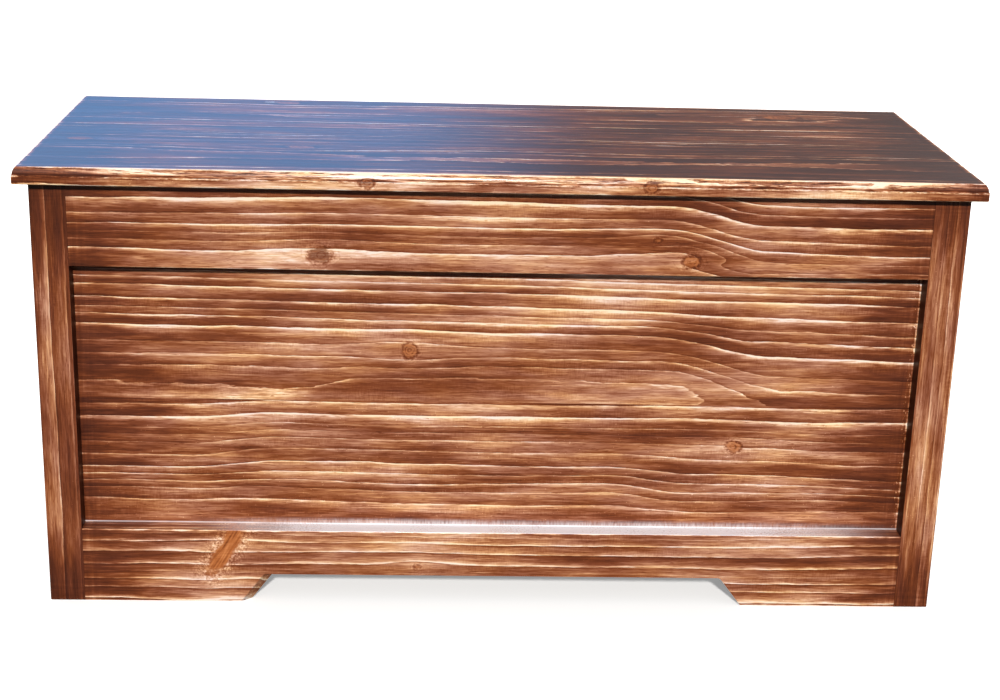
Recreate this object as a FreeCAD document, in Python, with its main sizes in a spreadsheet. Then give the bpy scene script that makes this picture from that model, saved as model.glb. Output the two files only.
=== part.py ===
import FreeCAD, Part
import math
import os
from types import SimpleNamespace

import Sketcher
from FreeCAD import Placement, Rotation, Vector

# Blanket chest of pine: frame-and-panel walls on four corner posts, a floor on cleats, and a
# moulded lid on two butt hinges.
# Millimetres. X runs along the chest, Y from front to back, Z up.
# The origin lies on the ground under the middle of the lid.

# Driving sizes
sizes = {
    # Lid: a board glued up from strips, with a thumbnail moulding above a small step
    "lid_width": 1000,
    "lid_depth": 400,
    "lid_thickness": 18,
    "lid_side_overhang": 13,
    "lid_front_overhang": 16,
    "lid_back_overhang": 16,
    "moulding_height": 8.5,
    "moulding_width": 3.5,
    "moulding_step": 1,
    "lid_corner_radius": 1.5,
    # Frame: posts and rails of one stock, grooved for the panels
    "body_height": 470,
    "stock": 38,
    "top_rail_height": 89,
    "bottom_rail_height": 85,
    "post_corner_radius": 2,
    "arris_radius": 1,
    "groove_depth": 8,
    "groove_stop": 15,
    "joint_clearance": 0.15,
    # Panels: two boards each, with a tongue in the groove
    "panel_recess": 20,
    "panel_thickness": 12,
    "tongue_thickness": 8,
    "tongue_end_gap": 1,
    "field_gap": 1,
    "panel_joint_height": 230,
    # Foot cut-outs in the bottom rails
    "long_foot": 173,
    "short_foot": 60,
    "cut_height": 33,
    "cut_slope": 25,
    "cut_corner_radius": 6,
    "cut_bevel": 9,
    # Floor
    "cleat_size": 18,
    "cleat_bottom": 37,
    "floor_thickness": 12,
    "floor_gap": 0.8,
    # Battens under the lid
    "batten_width": 45,
    "batten_thickness": 18,
    "batten_end_gap": 6,
    "batten_inset": 200,
    "batten_chamfer": 4,
    # Butt hinges
    "hinge_inset": 162,
    "hinge_length": 65,
    "leaf_width": 22,
    "leaf_thickness": 1.8,
    "leaf_fit": 0.3,
    "knuckle_radius": 3.5,
    "knuckle_gap": 0.3,
    "pin_offset": 4,
    "pin_radius": 1.75,
    "pin_clearance": 0.05,
    "barrel_room": 0.5,
    # Countersunk hinge screws
    "screw_diameter": 3.4,
    "screw_head": 6.6,
    "screw_length": 11,
    "screw_spacing": 40,
    "screw_clearance": 0.1,
}
LID_BOARDS = 4
FLOOR_BOARDS = 3
KNUCKLES = 5

# Two coordinates this close are the same place
TOUCH = 1e-4
# Numbers that sketches give to the points of a line, arc or circle, and to the origin
START, END, CENTRE = range(1, 4)
ORIGIN = -START

doc = FreeCAD.newDocument("blanket_chest")
sheet = doc.addObject("Spreadsheet::Sheet", "Sizes")
for row, (alias, number) in enumerate(sizes.items(), start=1):
    sheet.set(f"A{row}", str(number))
    sheet.setAlias(f"A{row}", alias)
doc.recompute()


class Length:
    """A size that carries its value and the sheet formula it is worked out from."""

    def __init__(self, value, formula):
        self.value = value
        self.formula = formula

    def __add__(self, other):
        other = as_length(other)
        return Length(self.value + other.value, f"({self.formula} + {other.formula})")

    def __sub__(self, other):
        other = as_length(other)
        return Length(self.value - other.value, f"({self.formula} - {other.formula})")

    def __mul__(self, factor):
        return Length(self.value * factor, f"({self.formula} * {factor})")

    def __truediv__(self, divisor):
        return Length(self.value / divisor, f"({self.formula} / {divisor})")

    def __neg__(self):
        return self * -1

    __radd__ = __add__
    __rmul__ = __mul__


def as_length(number):
    """Give a plain number the form of a Length."""
    if isinstance(number, Length):
        return number
    return Length(number, str(number))


s = SimpleNamespace(**{alias: Length(number, f"Sizes.{alias}") for alias, number in sizes.items()})

# Places that several pieces share
body_width = s.lid_width - 2 * s.lid_side_overhang
body_front = s.lid_front_overhang - s.lid_depth / 2
body_back = s.lid_depth / 2 - s.lid_back_overhang
body_depth = body_back - body_front
body_middle = (body_front + body_back) / 2
inner_width = body_width - 2 * s.stock
inner_depth = body_depth - 2 * s.stock
opening_bottom = s.bottom_rail_height
opening_top = s.body_height - s.top_rail_height
tongue_length = s.groove_depth - s.tongue_end_gap
groove_width = s.tongue_thickness + 2 * s.joint_clearance
groove_front = s.panel_recess - s.joint_clearance
floor_bottom = s.cleat_bottom + s.cleat_size
hinge_place = body_width / 2 - s.hinge_inset
pin_back = body_back + s.pin_offset
leaf_recess = s.knuckle_radius
leaf_face = s.knuckle_radius - s.leaf_thickness
leaf_middle = s.pin_offset + s.leaf_width / 2
screw_sink = (s.screw_head - s.screw_diameter) / 2
screw_places = (s.screw_spacing / -2, s.screw_spacing / 2)


def bind(thing, path, length):
    """Tie a property of a document object to the sheet."""
    thing.setExpression(path, as_length(length).formula)


# Drawing helpers

def new_body(label):
    """An empty body named after its piece."""
    body = doc.addObject("PartDesign::Body", label)
    body.Label = label
    return body


def origin_feature(body, role):
    """The origin plane or axis of a body with the given role."""
    return next(feature for feature in body.Origin.OriginFeatures if feature.Role == role)


def new_sketch(body, role, lift=0):
    """A sketch on one of the body's origin planes, lifted along the plane's normal."""
    sketch = body.newObject("Sketcher::SketchObject", f"{body.Name}_sketch")
    sketch.AttachmentSupport = [(origin_feature(body, role), "")]
    sketch.MapMode = "FlatFace"
    bind(sketch, "AttachmentOffset.Base.z", lift)
    return sketch


def hold(sketch, kind, geometry, vertex, length):
    """Hold a vertex at a length from the sketch's origin, along X or Y."""
    length = as_length(length)
    index = sketch.addConstraint(Sketcher.Constraint(kind, ORIGIN, START, geometry, vertex, length.value))
    sketch.renameConstraint(index, f"place_{index}")
    bind(sketch, f"Constraints.place_{index}", length)


def fix_point(sketch, geometry, vertex, x, y):
    """Hold a vertex at a place given by two lengths from the sketch's origin."""
    hold(sketch, "DistanceX", geometry, vertex, x)
    hold(sketch, "DistanceY", geometry, vertex, y)


def join(sketch, geometry, vertex, other, other_vertex):
    """Make the points of two lines or arcs one."""
    sketch.addConstraint(Sketcher.Constraint("Coincident", geometry, vertex, other, other_vertex))


def draw_polygon(sketch, corners):
    """A closed outline through corners that are pairs of lengths."""
    points = [Vector(as_length(x).value, as_length(y).value, 0) for x, y in corners]
    first = sketch.GeometryCount
    for start, end in zip(points, points[1:] + points[:1]):
        sketch.addGeometry(Part.LineSegment(start, end))
    for step, (x, y) in enumerate(corners):
        line = first + step
        following = first + (step + 1) % len(corners)
        join(sketch, line, END, following, START)
        fix_point(sketch, line, START, x, y)


def draw_rectangle(sketch, left, right, bottom, top):
    """A rectangle between two pairs of lengths."""
    draw_polygon(sketch, [(left, bottom), (right, bottom), (right, top), (left, top)])


def draw_circle(sketch, x, y, radius):
    """A circle at a place given by two lengths."""
    circle = sketch.addGeometry(
        Part.Circle(Vector(as_length(x).value, as_length(y).value, 0), Vector(0, 0, 1), radius.value)
    )
    fix_point(sketch, circle, CENTRE, x, y)
    index = sketch.addConstraint(Sketcher.Constraint("Radius", circle, radius.value))
    sketch.renameConstraint(index, f"radius_{index}")
    bind(sketch, f"Constraints.radius_{index}", radius)


def pad(body, sketch, length, backwards=False):
    """Raise a sketch along its normal, or against it."""
    feature = body.newObject("PartDesign::Pad", f"{body.Name}_pad")
    feature.Profile = sketch
    feature.Reversed = backwards
    bind(feature, "Length", length)
    return feature


def pocket(body, sketch, depth, forwards=False):
    """Sink a sketch against its normal, or along it."""
    feature = body.newObject("PartDesign::Pocket", f"{body.Name}_pocket")
    feature.Profile = sketch
    feature.Reversed = forwards
    bind(feature, "Length", depth)
    return feature


def edges_where(body, test):
    """Names of the edges of the body so far whose end points all pass a test."""
    doc.recompute()
    edges = enumerate(body.Tip.Shape.Edges, start=1)
    return [f"Edge{n}" for n, edge in edges if all(test(v.Point) for v in edge.Vertexes)]


def round_edges(body, radius, test):
    """Round the edges whose end points all pass a test."""
    names = edges_where(body, test)
    solid = body.Tip
    feature = body.newObject("PartDesign::Fillet", f"{body.Name}_fillet")
    feature.Base = (solid, names)
    bind(feature, "Radius", radius)


def bevel_edges(body, size, test):
    """Cut a 45 degree bevel on the edges whose end points all pass a test."""
    names = edges_where(body, test)
    solid = body.Tip
    feature = body.newObject("PartDesign::Chamfer", f"{body.Name}_chamfer")
    feature.Base = (solid, names)
    bind(feature, "Size", size)


def near(value, length):
    """Whether a coordinate lies at a length."""
    return abs(value - as_length(length).value) < TOUCH


# Walls: each is drawn looking at its outer face, with X along it, Y going in and Z up

walls = {
    "front": SimpleNamespace(turn=0, x=as_length(0), y=body_front, span=inner_width),
    "back": SimpleNamespace(turn=180, x=as_length(0), y=body_back, span=inner_width),
    "left": SimpleNamespace(turn=-90, x=body_width / -2, y=body_middle, span=inner_depth),
    "right": SimpleNamespace(turn=90, x=body_width / 2, y=body_middle, span=inner_depth),
}


def place(piece, x, y, z=0, turn=0):
    """Put a piece at three lengths, turned about the upright axis."""
    piece.Placement = Placement(Vector(), Rotation(Vector(0, 0, 1), turn))
    bind(piece, "Placement.Base.x", x)
    bind(piece, "Placement.Base.y", y)
    bind(piece, "Placement.Base.z", z)


def add_tenons(body, span, bottom, top):
    """Stub tenons at both ends of a rail, in line with the panel groove."""
    sketch = new_sketch(body, "XZ_Plane", -s.panel_recess)
    for side in (-1, 1):
        root = side * (span / 2 - tongue_length)
        tip = side * (span / 2 + tongue_length)
        draw_rectangle(sketch, root, tip, bottom, top)
    pad(body, sketch, s.tongue_thickness, backwards=True)


def cut_groove(body, span, bottom, top):
    """The panel groove along one edge of a rail, run out through its tenons."""
    sketch = new_sketch(body, "XZ_Plane", -groove_front)
    run = span / 2 + tongue_length
    draw_rectangle(sketch, -run, run, bottom, top)
    pocket(body, sketch, groove_width)


def make_top_rail(side):
    """A top rail between two posts, grooved below for the panel."""
    wall = walls[side]
    body = new_body(f"{side}_top_rail")
    outline = new_sketch(body, "XZ_Plane")
    draw_rectangle(outline, wall.span / -2, wall.span / 2, opening_top, s.body_height)
    pad(body, outline, s.stock, backwards=True)
    tenon_top = s.body_height - s.groove_stop - s.joint_clearance
    add_tenons(body, wall.span, opening_top, tenon_top)
    cut_groove(body, wall.span, opening_top, opening_top + s.groove_depth)
    round_edges(body, s.arris_radius, lambda p: near(p.y, 0) and near(p.z, opening_top))
    place(body, wall.x, wall.y, turn=wall.turn)
    return body


def make_bottom_rail(side, foot, bevel=as_length(0)):
    """A bottom rail with a sloped cut-out that leaves a foot at each end.

    The bevel is the sawn slant on the front edge of the left-hand slope, whose upper corner then
    stays as sharp as the saw left it.
    """
    wall = walls[side]
    body = new_body(f"{side}_bottom_rail")
    half = wall.span / 2
    left_toe = bevel + foot - half
    right_toe = half - foot
    left_crown = left_toe + s.cut_slope
    right_crown = right_toe - s.cut_slope
    outline = new_sketch(body, "XZ_Plane")
    draw_polygon(
        outline,
        [
            (-half, 0),
            (left_toe, 0),
            (left_crown, s.cut_height),
            (right_crown, s.cut_height),
            (right_toe, 0),
            (half, 0),
            (half, s.bottom_rail_height),
            (-half, s.bottom_rail_height),
        ],
    )
    pad(body, outline, s.stock, backwards=True)
    add_tenons(body, wall.span, s.groove_stop + s.joint_clearance, opening_bottom)
    cut_groove(body, wall.span, opening_bottom - s.groove_depth, opening_bottom)
    soft_corners = [left_crown, right_crown]
    if bevel.value:
        soft_corners.remove(left_crown)
        slope = (left_toe.value - TOUCH, left_crown.value + TOUCH)
        bevel_edges(
            body,
            bevel,
            lambda p: near(p.y, 0) and slope[0] < p.x < slope[1] and p.z < opening_bottom.value / 2,
        )
    for corner in soft_corners:
        round_edges(
            body,
            s.cut_corner_radius,
            lambda p: near(p.z, s.cut_height) and near(p.x, corner),
        )
    round_edges(body, s.arris_radius, lambda p: near(p.y, 0) and near(p.z, opening_bottom))
    place(body, wall.x, wall.y, turn=wall.turn)
    return body


def make_panel_board(side, part, bottom, top, tongue_bottom, tongue_top):
    """One of the two boards of a panel: a thin tongue all round and a thicker field behind it."""
    wall = walls[side]
    body = new_body(f"{side}_panel_{part}")
    tongue = new_sketch(body, "XZ_Plane", -s.panel_recess)
    reach = wall.span / 2 + tongue_length
    draw_rectangle(tongue, -reach, reach, tongue_bottom, tongue_top)
    pad(body, tongue, s.tongue_thickness, backwards=True)
    field = new_sketch(body, "XZ_Plane", -s.panel_recess)
    reach = wall.span / 2 - s.field_gap
    draw_rectangle(field, -reach, reach, bottom, top)
    pad(body, field, s.panel_thickness, backwards=True)
    place(body, wall.x, wall.y, turn=wall.turn)
    return body


def make_panel(side):
    """The two boards of a wall's panel, glued edge to edge."""
    joint = s.panel_joint_height
    field_bottom = opening_bottom + s.field_gap
    field_top = opening_top - s.field_gap
    lower = make_panel_board(side, "lower", field_bottom, joint, opening_bottom - tongue_length, joint)
    upper = make_panel_board(side, "upper", joint, field_top, joint, opening_top + tongue_length)
    return [lower, upper]


def make_post(label, x, y, turn):
    """A corner post with its outer corner at the origin and a stopped groove in each inner face."""
    body = new_body(label)
    outline = new_sketch(body, "XY_Plane")
    draw_rectangle(outline, 0, s.stock, 0, s.stock)
    pad(body, outline, s.body_height)
    groove_back = groove_front + groove_width
    groove_top = s.body_height - s.groove_stop
    long_groove = new_sketch(body, "YZ_Plane", s.stock)
    draw_rectangle(long_groove, groove_front, groove_back, s.groove_stop, groove_top)
    pocket(body, long_groove, s.groove_depth)
    short_groove = new_sketch(body, "XZ_Plane", -s.stock)
    draw_rectangle(short_groove, groove_front, groove_back, s.groove_stop, groove_top)
    pocket(body, short_groove, s.groove_depth, forwards=True)
    round_edges(body, s.post_corner_radius, lambda p: near(p.x, 0) and near(p.y, 0))
    place(body, x, y, turn=turn)
    return body


# Floor

def make_cleat(side, length):
    """A square cleat glued along the inner face of a bottom rail."""
    wall = walls[side]
    body = new_body(f"floor_cleat_{side}")
    outline = new_sketch(body, "XZ_Plane", -s.stock)
    draw_rectangle(outline, length / -2, length / 2, s.cleat_bottom, floor_bottom)
    pad(body, outline, s.cleat_size, backwards=True)
    place(body, wall.x, wall.y, turn=wall.turn)
    return body


def make_floor_board(label, step):
    """One lengthwise floor board on the cleats."""
    board = doc.addObject("Part::Box", label)
    board.Label = label
    width = (inner_depth - (FLOOR_BOARDS + 1) * s.floor_gap) / FLOOR_BOARDS
    bind(board, "Length", inner_width - 2 * s.floor_gap)
    bind(board, "Width", width)
    bind(board, "Height", s.floor_thickness)
    front = body_front + s.stock + s.floor_gap + step * (width + s.floor_gap)
    place(board, inner_width / -2 + s.floor_gap, front, floor_bottom)
    return board


# Lid

def draw_leaf_recesses(sketch, outer_edge, inner_edge):
    """The two rectangles that let the hinge leaves into the wood."""
    half = s.hinge_length / 2 + s.leaf_fit
    for side in (-1, 1):
        middle = side * hinge_place
        draw_rectangle(sketch, middle - half, middle + half, inner_edge, outer_edge)


def draw_pilot_holes(sketch, y):
    """The holes that the screws of both hinges go into."""
    bore = s.screw_diameter / 2 + s.screw_clearance
    for side in (-1, 1):
        for along in screw_places:
            draw_circle(sketch, side * hinge_place + along, y, bore)


def draw_moulding(sketch, half_span):
    """What a moulding cutter takes off two opposite edges: a step, and a thumbnail curve that starts upright."""
    top = s.lid_thickness
    step_height = top - s.moulding_height
    height = s.moulding_height.value
    width = s.moulding_width.value
    radius = (width**2 + height**2) / (2 * width)
    half_turn = math.atan2(height, radius - width) / 2
    for side in (-1, 1):
        clear = side * (half_span + s.moulding_step)
        foot = side * (half_span - s.moulding_step)
        crown = side * (half_span - s.moulding_step - s.moulding_width)
        corners = [(crown, top), (clear, top), (clear, step_height), (foot, step_height)]
        points = [Vector(x.value, y.value, 0) for x, y in corners]
        first = sketch.GeometryCount
        for start, end in zip(points, points[1:]):
            sketch.addGeometry(Part.LineSegment(start, end))
        turned = Vector(side * (math.cos(half_turn) - 1), math.sin(half_turn), 0)
        arc = sketch.addGeometry(Part.Arc(points[-1], points[-1] + turned * radius, points[0]))
        last = arc - 1

        fix_point(sketch, first, START, crown, top)
        for line in range(first, last + 1):
            fix_point(sketch, line, END, *corners[line - first + 1])
        for line in range(first, last):
            join(sketch, line, END, line + 1, START)
        hold(sketch, "DistanceY", arc, CENTRE, step_height)
        # An arc always runs anticlockwise, so on the left its ends change places
        arc_foot, arc_crown = (START, END) if side > 0 else (END, START)
        join(sketch, last, END, arc, arc_foot)
        join(sketch, first, START, arc, arc_crown)


def make_lid_blank():
    """The whole lid: a slab with a moulding run along its four edges, recessed below for the hinges."""
    body = new_body("lid_blank")
    half_width = s.lid_width / 2
    half_depth = s.lid_depth / 2
    slab = new_sketch(body, "XY_Plane")
    draw_rectangle(slab, -half_width, half_width, -half_depth, half_depth)
    pad(body, slab, s.lid_thickness)
    round_edges(
        body,
        s.lid_corner_radius,
        lambda p: near(abs(p.x), half_width) and near(abs(p.y), half_depth),
    )
    end_moulding = new_sketch(body, "XZ_Plane", -half_depth)
    draw_moulding(end_moulding, half_width)
    pocket(body, end_moulding, s.lid_depth, forwards=True)
    long_moulding = new_sketch(body, "YZ_Plane", half_width)
    draw_moulding(long_moulding, half_depth)
    pocket(body, long_moulding, s.lid_width)

    leaves = new_sketch(body, "XY_Plane")
    draw_leaf_recesses(leaves, body_back, body_back - s.leaf_width - s.leaf_fit)
    pocket(body, leaves, leaf_recess, forwards=True)
    barrels = new_sketch(body, "XY_Plane")
    half = s.hinge_length / 2 + s.barrel_room
    for side in (-1, 1):
        middle = side * hinge_place
        back = pin_back + s.knuckle_radius + s.barrel_room
        draw_rectangle(barrels, middle - half, middle + half, body_back, back)
    pocket(body, barrels, s.knuckle_radius + s.barrel_room, forwards=True)
    holes = new_sketch(body, "XY_Plane")
    draw_pilot_holes(holes, pin_back - leaf_middle)
    pocket(body, holes, leaf_face + s.screw_length + s.screw_clearance, forwards=True)
    place(body, 0, 0, s.body_height)
    return body


def make_lid_board(label, blank, step):
    """One strip of the glued-up lid."""
    strip = doc.addObject("Part::Box", f"{label}_strip")
    width = s.lid_depth / LID_BOARDS
    bind(strip, "Length", s.lid_width)
    bind(strip, "Width", width)
    bind(strip, "Height", s.lid_thickness)
    place(strip, s.lid_width / -2, step * width - s.lid_depth / 2, s.body_height)
    board = doc.addObject("Part::Common", label)
    board.Label = label
    board.Base = blank
    board.Tool = strip
    return board


def make_batten(label, side):
    """A batten glued across the lid boards, bevelled along its lower edges."""
    body = new_body(label)
    half_width = s.batten_width / 2
    half_length = inner_depth / 2 - s.batten_end_gap
    outline = new_sketch(body, "XY_Plane", -s.batten_thickness)
    draw_rectangle(outline, -half_width, half_width, -half_length, half_length)
    pad(body, outline, s.batten_thickness)
    bevel_edges(body, s.batten_chamfer, lambda p: near(p.z, -s.batten_thickness))
    place(body, side * (s.lid_width / 2 - s.batten_inset), body_middle, s.body_height)
    return body


# Hinges: each is drawn about its pin, which lies along X in the plane where lid and chest meet

def make_leaf(label, side, plate_bottom, first_knuckle, knuckles, sink_face):
    """A hinge leaf: a plate let into the wood, with knuckles rolled round the pin."""
    body = new_body(label)
    pitch = s.hinge_length / KNUCKLES
    half = s.hinge_length / 2
    plate = new_sketch(body, "XY_Plane", plate_bottom)
    draw_rectangle(plate, -half, half, -s.pin_offset - s.leaf_width, -s.pin_offset)
    pad(body, plate, s.leaf_thickness)

    start = first_knuckle * pitch - half + s.knuckle_gap / 2
    width = pitch - s.knuckle_gap
    neck = new_sketch(body, "XY_Plane", plate_bottom)
    draw_rectangle(neck, start, start + width, -s.pin_offset, 0)
    neck_pad = pad(body, neck, s.leaf_thickness)
    barrel = new_sketch(body, "YZ_Plane", start)
    draw_circle(barrel, 0, 0, s.knuckle_radius)
    barrel_pad = pad(body, barrel, width)
    doc.recompute()
    row_of_knuckles = body.newObject("PartDesign::LinearPattern", f"{label}_knuckles")
    row_of_knuckles.Originals = [neck_pad, barrel_pad]
    row_of_knuckles.Direction = (origin_feature(body, "X_Axis"), [""])
    row_of_knuckles.Occurrences = knuckles
    bind(row_of_knuckles, "Length", 2 * pitch * (knuckles - 1))
    body.Tip = row_of_knuckles
    doc.recompute()

    bore = new_sketch(body, "YZ_Plane", half)
    draw_circle(bore, 0, 0, s.pin_radius + s.pin_clearance)
    pocket(body, bore, s.hinge_length)
    holes = new_sketch(body, "XY_Plane", plate_bottom)
    for along in screw_places:
        draw_circle(holes, along, -leaf_middle, s.screw_diameter / 2 + s.screw_clearance)
    pocket(body, holes, s.leaf_thickness, forwards=True)
    reach = s.screw_head.value / 2
    bevel_edges(
        body,
        screw_sink,
        lambda p: near(p.z, sink_face) and abs(p.y + leaf_middle.value) < reach,
    )
    place(body, side * hinge_place, pin_back, s.body_height)
    return body


def make_pin(label, side):
    """A hinge pin, riveted flush with the ends of its barrel."""
    pin = doc.addObject("Part::Cylinder", label)
    pin.Label = label
    bind(pin, "Radius", s.pin_radius)
    bind(pin, "Height", s.hinge_length)
    place(pin, side * hinge_place - s.hinge_length / 2, pin_back, s.body_height)
    pin.Placement.Rotation = Rotation(Vector(0, 1, 0), 90)
    return pin


# Screws: each is a countersunk head on a plain shank, in a group for each side of the hinges

def make_screw(name, x, point, rise):
    """A screw seated at a height from the pin, pointing up for 1 and down for -1."""
    head = doc.addObject("Part::Cone", f"{name}_head")
    wide = s.screw_head / 2
    narrow = s.screw_diameter / 2
    bind(head, "Radius1", wide if point > 0 else narrow)
    bind(head, "Radius2", narrow if point > 0 else wide)
    bind(head, "Height", screw_sink)
    shank = doc.addObject("Part::Cylinder", f"{name}_shank")
    bind(shank, "Radius", narrow)
    bind(shank, "Height", s.screw_length - screw_sink)
    seat = s.body_height + rise
    y = pin_back - leaf_middle
    place(head, x, y, seat if point > 0 else seat - screw_sink)
    place(shank, x, y, seat + screw_sink if point > 0 else seat - s.screw_length)
    screw = doc.addObject("Part::Fuse", name)
    screw.Base = head
    screw.Tool = shank
    return screw


def make_screws(label, point, rise):
    """The screws of the two leaves on one side of the hinges."""
    screws = []
    for side in (-1, 1):
        for along in screw_places:
            screws.append(make_screw(f"{label}_one", side * hinge_place + along, point, rise))
    group = doc.addObject("Part::Compound", label)
    group.Label = label
    group.Links = screws
    return group


# The chest
pieces = [
    make_post("post_front_left", body_width / -2, body_front, 0),
    make_post("post_front_right", body_width / 2, body_front, 90),
    make_post("post_back_right", body_width / 2, body_back, 180),
    make_post("post_back_left", body_width / -2, body_back, 270),
    make_bottom_rail("front", s.long_foot, bevel=s.cut_bevel),
    make_bottom_rail("back", s.long_foot),
    make_bottom_rail("left", s.short_foot),
    make_bottom_rail("right", s.short_foot),
]
for side in walls:
    pieces += make_panel(side)
for side in ("front", "left", "right"):
    pieces.append(make_top_rail(side))

# The back rail also takes the chest leaves of the hinges
back_top_rail = make_top_rail("back")
mortises = new_sketch(back_top_rail, "XY_Plane", s.body_height)
draw_leaf_recesses(mortises, s.leaf_width + s.leaf_fit, 0)
pocket(back_top_rail, mortises, leaf_recess)
pilot_holes = new_sketch(back_top_rail, "XY_Plane", s.body_height)
draw_pilot_holes(pilot_holes, s.leaf_width / 2)
pocket(back_top_rail, pilot_holes, leaf_face + s.screw_length + s.screw_clearance)
pieces.append(back_top_rail)

short_cleat = inner_depth - 2 * s.cleat_size
for side in ("front", "back"):
    pieces.append(make_cleat(side, inner_width))
for side in ("left", "right"):
    pieces.append(make_cleat(side, short_cleat))
for step, part in enumerate(("front", "middle", "back")):
    pieces.append(make_floor_board(f"floor_board_{part}", step))

# The lid
lid_blank = make_lid_blank()
for step, part in enumerate(("front", "inner_front", "inner_back", "back")):
    pieces.append(make_lid_board(f"lid_board_{part}", lid_blank, step))
for side, name in ((-1, "left"), (1, "right")):
    pieces.append(make_batten(f"lid_batten_{name}", side))

# The hinges and their screws
for side, name in ((-1, "left"), (1, "right")):
    pieces.append(make_leaf(f"hinge_leaf_chest_{name}", side, -leaf_recess, 0, 3, -leaf_face))
    pieces.append(make_leaf(f"hinge_leaf_lid_{name}", side, leaf_face, 1, 2, leaf_face))
    pieces.append(make_pin(f"hinge_pin_{name}", side))
pieces.append(make_screws("hinge_screws_chest", -1, -leaf_face))
pieces.append(make_screws("hinge_screws_lid", 1, leaf_face))

# Check and write
doc.recompute()
for thing in doc.Objects:
    if "Invalid" in thing.State or "Error" in thing.State:
        raise RuntimeError(f"{thing.Label} did not build: {thing.State}")
for piece in pieces:
    if piece.Shape.isNull() or not piece.Shape.isValid():
        raise RuntimeError(f"{piece.Label} has no valid shape")
os.makedirs("parts", exist_ok=True)
for piece in pieces:
    piece.Shape.exportStep(f"parts/{piece.Label}.step")
print(len(pieces), "pieces written")
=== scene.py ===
# %% [markdown]
# # A blanket chest of stained pine
# The chest was drawn board by board in CAD, and this file gives it its looks. The boards keep the
# shapes they have there. What is added is the wood itself: growth rings, knots, a dark stain and a
# gloss varnish outside, bare pine inside, brass for the hinges, and screws with real heads.
# Lengths are metres in the scene and millimetres inside the wood materials, because rings and
# knots are easiest to think of in millimetres.

import bpy
import numpy as np
from mathutils import Matrix, Vector


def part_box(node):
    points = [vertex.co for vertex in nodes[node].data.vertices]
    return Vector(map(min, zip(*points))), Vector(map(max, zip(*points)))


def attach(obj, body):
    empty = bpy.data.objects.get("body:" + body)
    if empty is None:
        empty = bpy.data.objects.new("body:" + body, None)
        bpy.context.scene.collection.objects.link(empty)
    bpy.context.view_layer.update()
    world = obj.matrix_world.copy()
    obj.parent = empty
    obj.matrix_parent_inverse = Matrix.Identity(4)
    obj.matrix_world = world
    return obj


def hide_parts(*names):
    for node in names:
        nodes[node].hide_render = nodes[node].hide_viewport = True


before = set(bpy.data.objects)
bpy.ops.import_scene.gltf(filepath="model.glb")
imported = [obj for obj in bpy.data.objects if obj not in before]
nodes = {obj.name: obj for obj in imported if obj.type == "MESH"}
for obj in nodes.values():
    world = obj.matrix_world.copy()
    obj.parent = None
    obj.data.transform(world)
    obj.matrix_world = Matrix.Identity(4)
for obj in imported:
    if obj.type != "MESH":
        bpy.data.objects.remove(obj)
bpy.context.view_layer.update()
scene = bpy.context.scene

# %% [markdown]
# ## A short hand for shader nodes
# A material is a tree of nodes, and each node is made, set and joined with a few lines. Pine needs
# a lot of arithmetic, so a small class does those lines: an input that is given a socket is joined
# to it, and an input that is given a number is set to it.

# %% Joining nodes
class Nodes:
    """One node tree, with short ways to add nodes to it and join them."""

    def __init__(self, tree):
        self.tree = tree

    def add(self, kind, inputs=None, **settings):
        """Add a node with its settings, and join or set the inputs given by name or number."""
        node = self.tree.nodes.new(kind)
        for name, value in settings.items():
            setattr(node, name, value)
        for key, value in (inputs or {}).items():
            self.feed(node.inputs[key], value)
        return node

    def feed(self, socket, value):
        """Join a socket to another one, or set it to a plain value."""
        if isinstance(value, bpy.types.NodeSocket):
            self.tree.links.new(value, socket)
        else:
            socket.default_value = value

    def math(self, operation, *values, clamp=False):
        """One step of arithmetic with numbers."""
        inputs = dict(enumerate(values))
        return self.add("ShaderNodeMath", inputs, operation=operation, use_clamp=clamp).outputs[0]

    def vector(self, operation, *values):
        """One step of arithmetic with vectors."""
        inputs = dict(enumerate(values))
        node = self.add("ShaderNodeVectorMath", inputs, operation=operation)
        return node.outputs["Value" if operation == "LENGTH" else "Vector"]

    def times(self, vector, factor):
        """A vector times a number."""
        inputs = {0: vector, "Scale": factor}
        return self.add("ShaderNodeVectorMath", inputs, operation="SCALE").outputs["Vector"]

    def axes(self, vector):
        """The three numbers of a vector."""
        return self.add("ShaderNodeSeparateXYZ", {0: vector}).outputs

    def fold(self, operation, values):
        """One number from several, by the same step between each and the next."""
        result = values[0]
        for value in values[1:]:
            result = self.math(operation, result, value)
        return result

    def total(self, *values):
        """Several numbers added up."""
        return self.fold("ADD", values)

    def product(self, *values):
        """Several numbers multiplied."""
        return self.fold("MULTIPLY", values)


print("arithmetic with nodes ready")

# %% [markdown]
# Wood is painted with masks, noise and colour ramps, so the short hand learns those too. Most masks
# are a ramp: its first two numbers say where the mask starts and where it is full. Noise is given the
# lengths of its features along the three axes of a board, because everything in wood is longer along
# the grain than across it, and a seed that carries it to another place for another board.

# %% Masks, noise and colours
SEED_STEP = (7.3, 3.1, 5.7)


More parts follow.
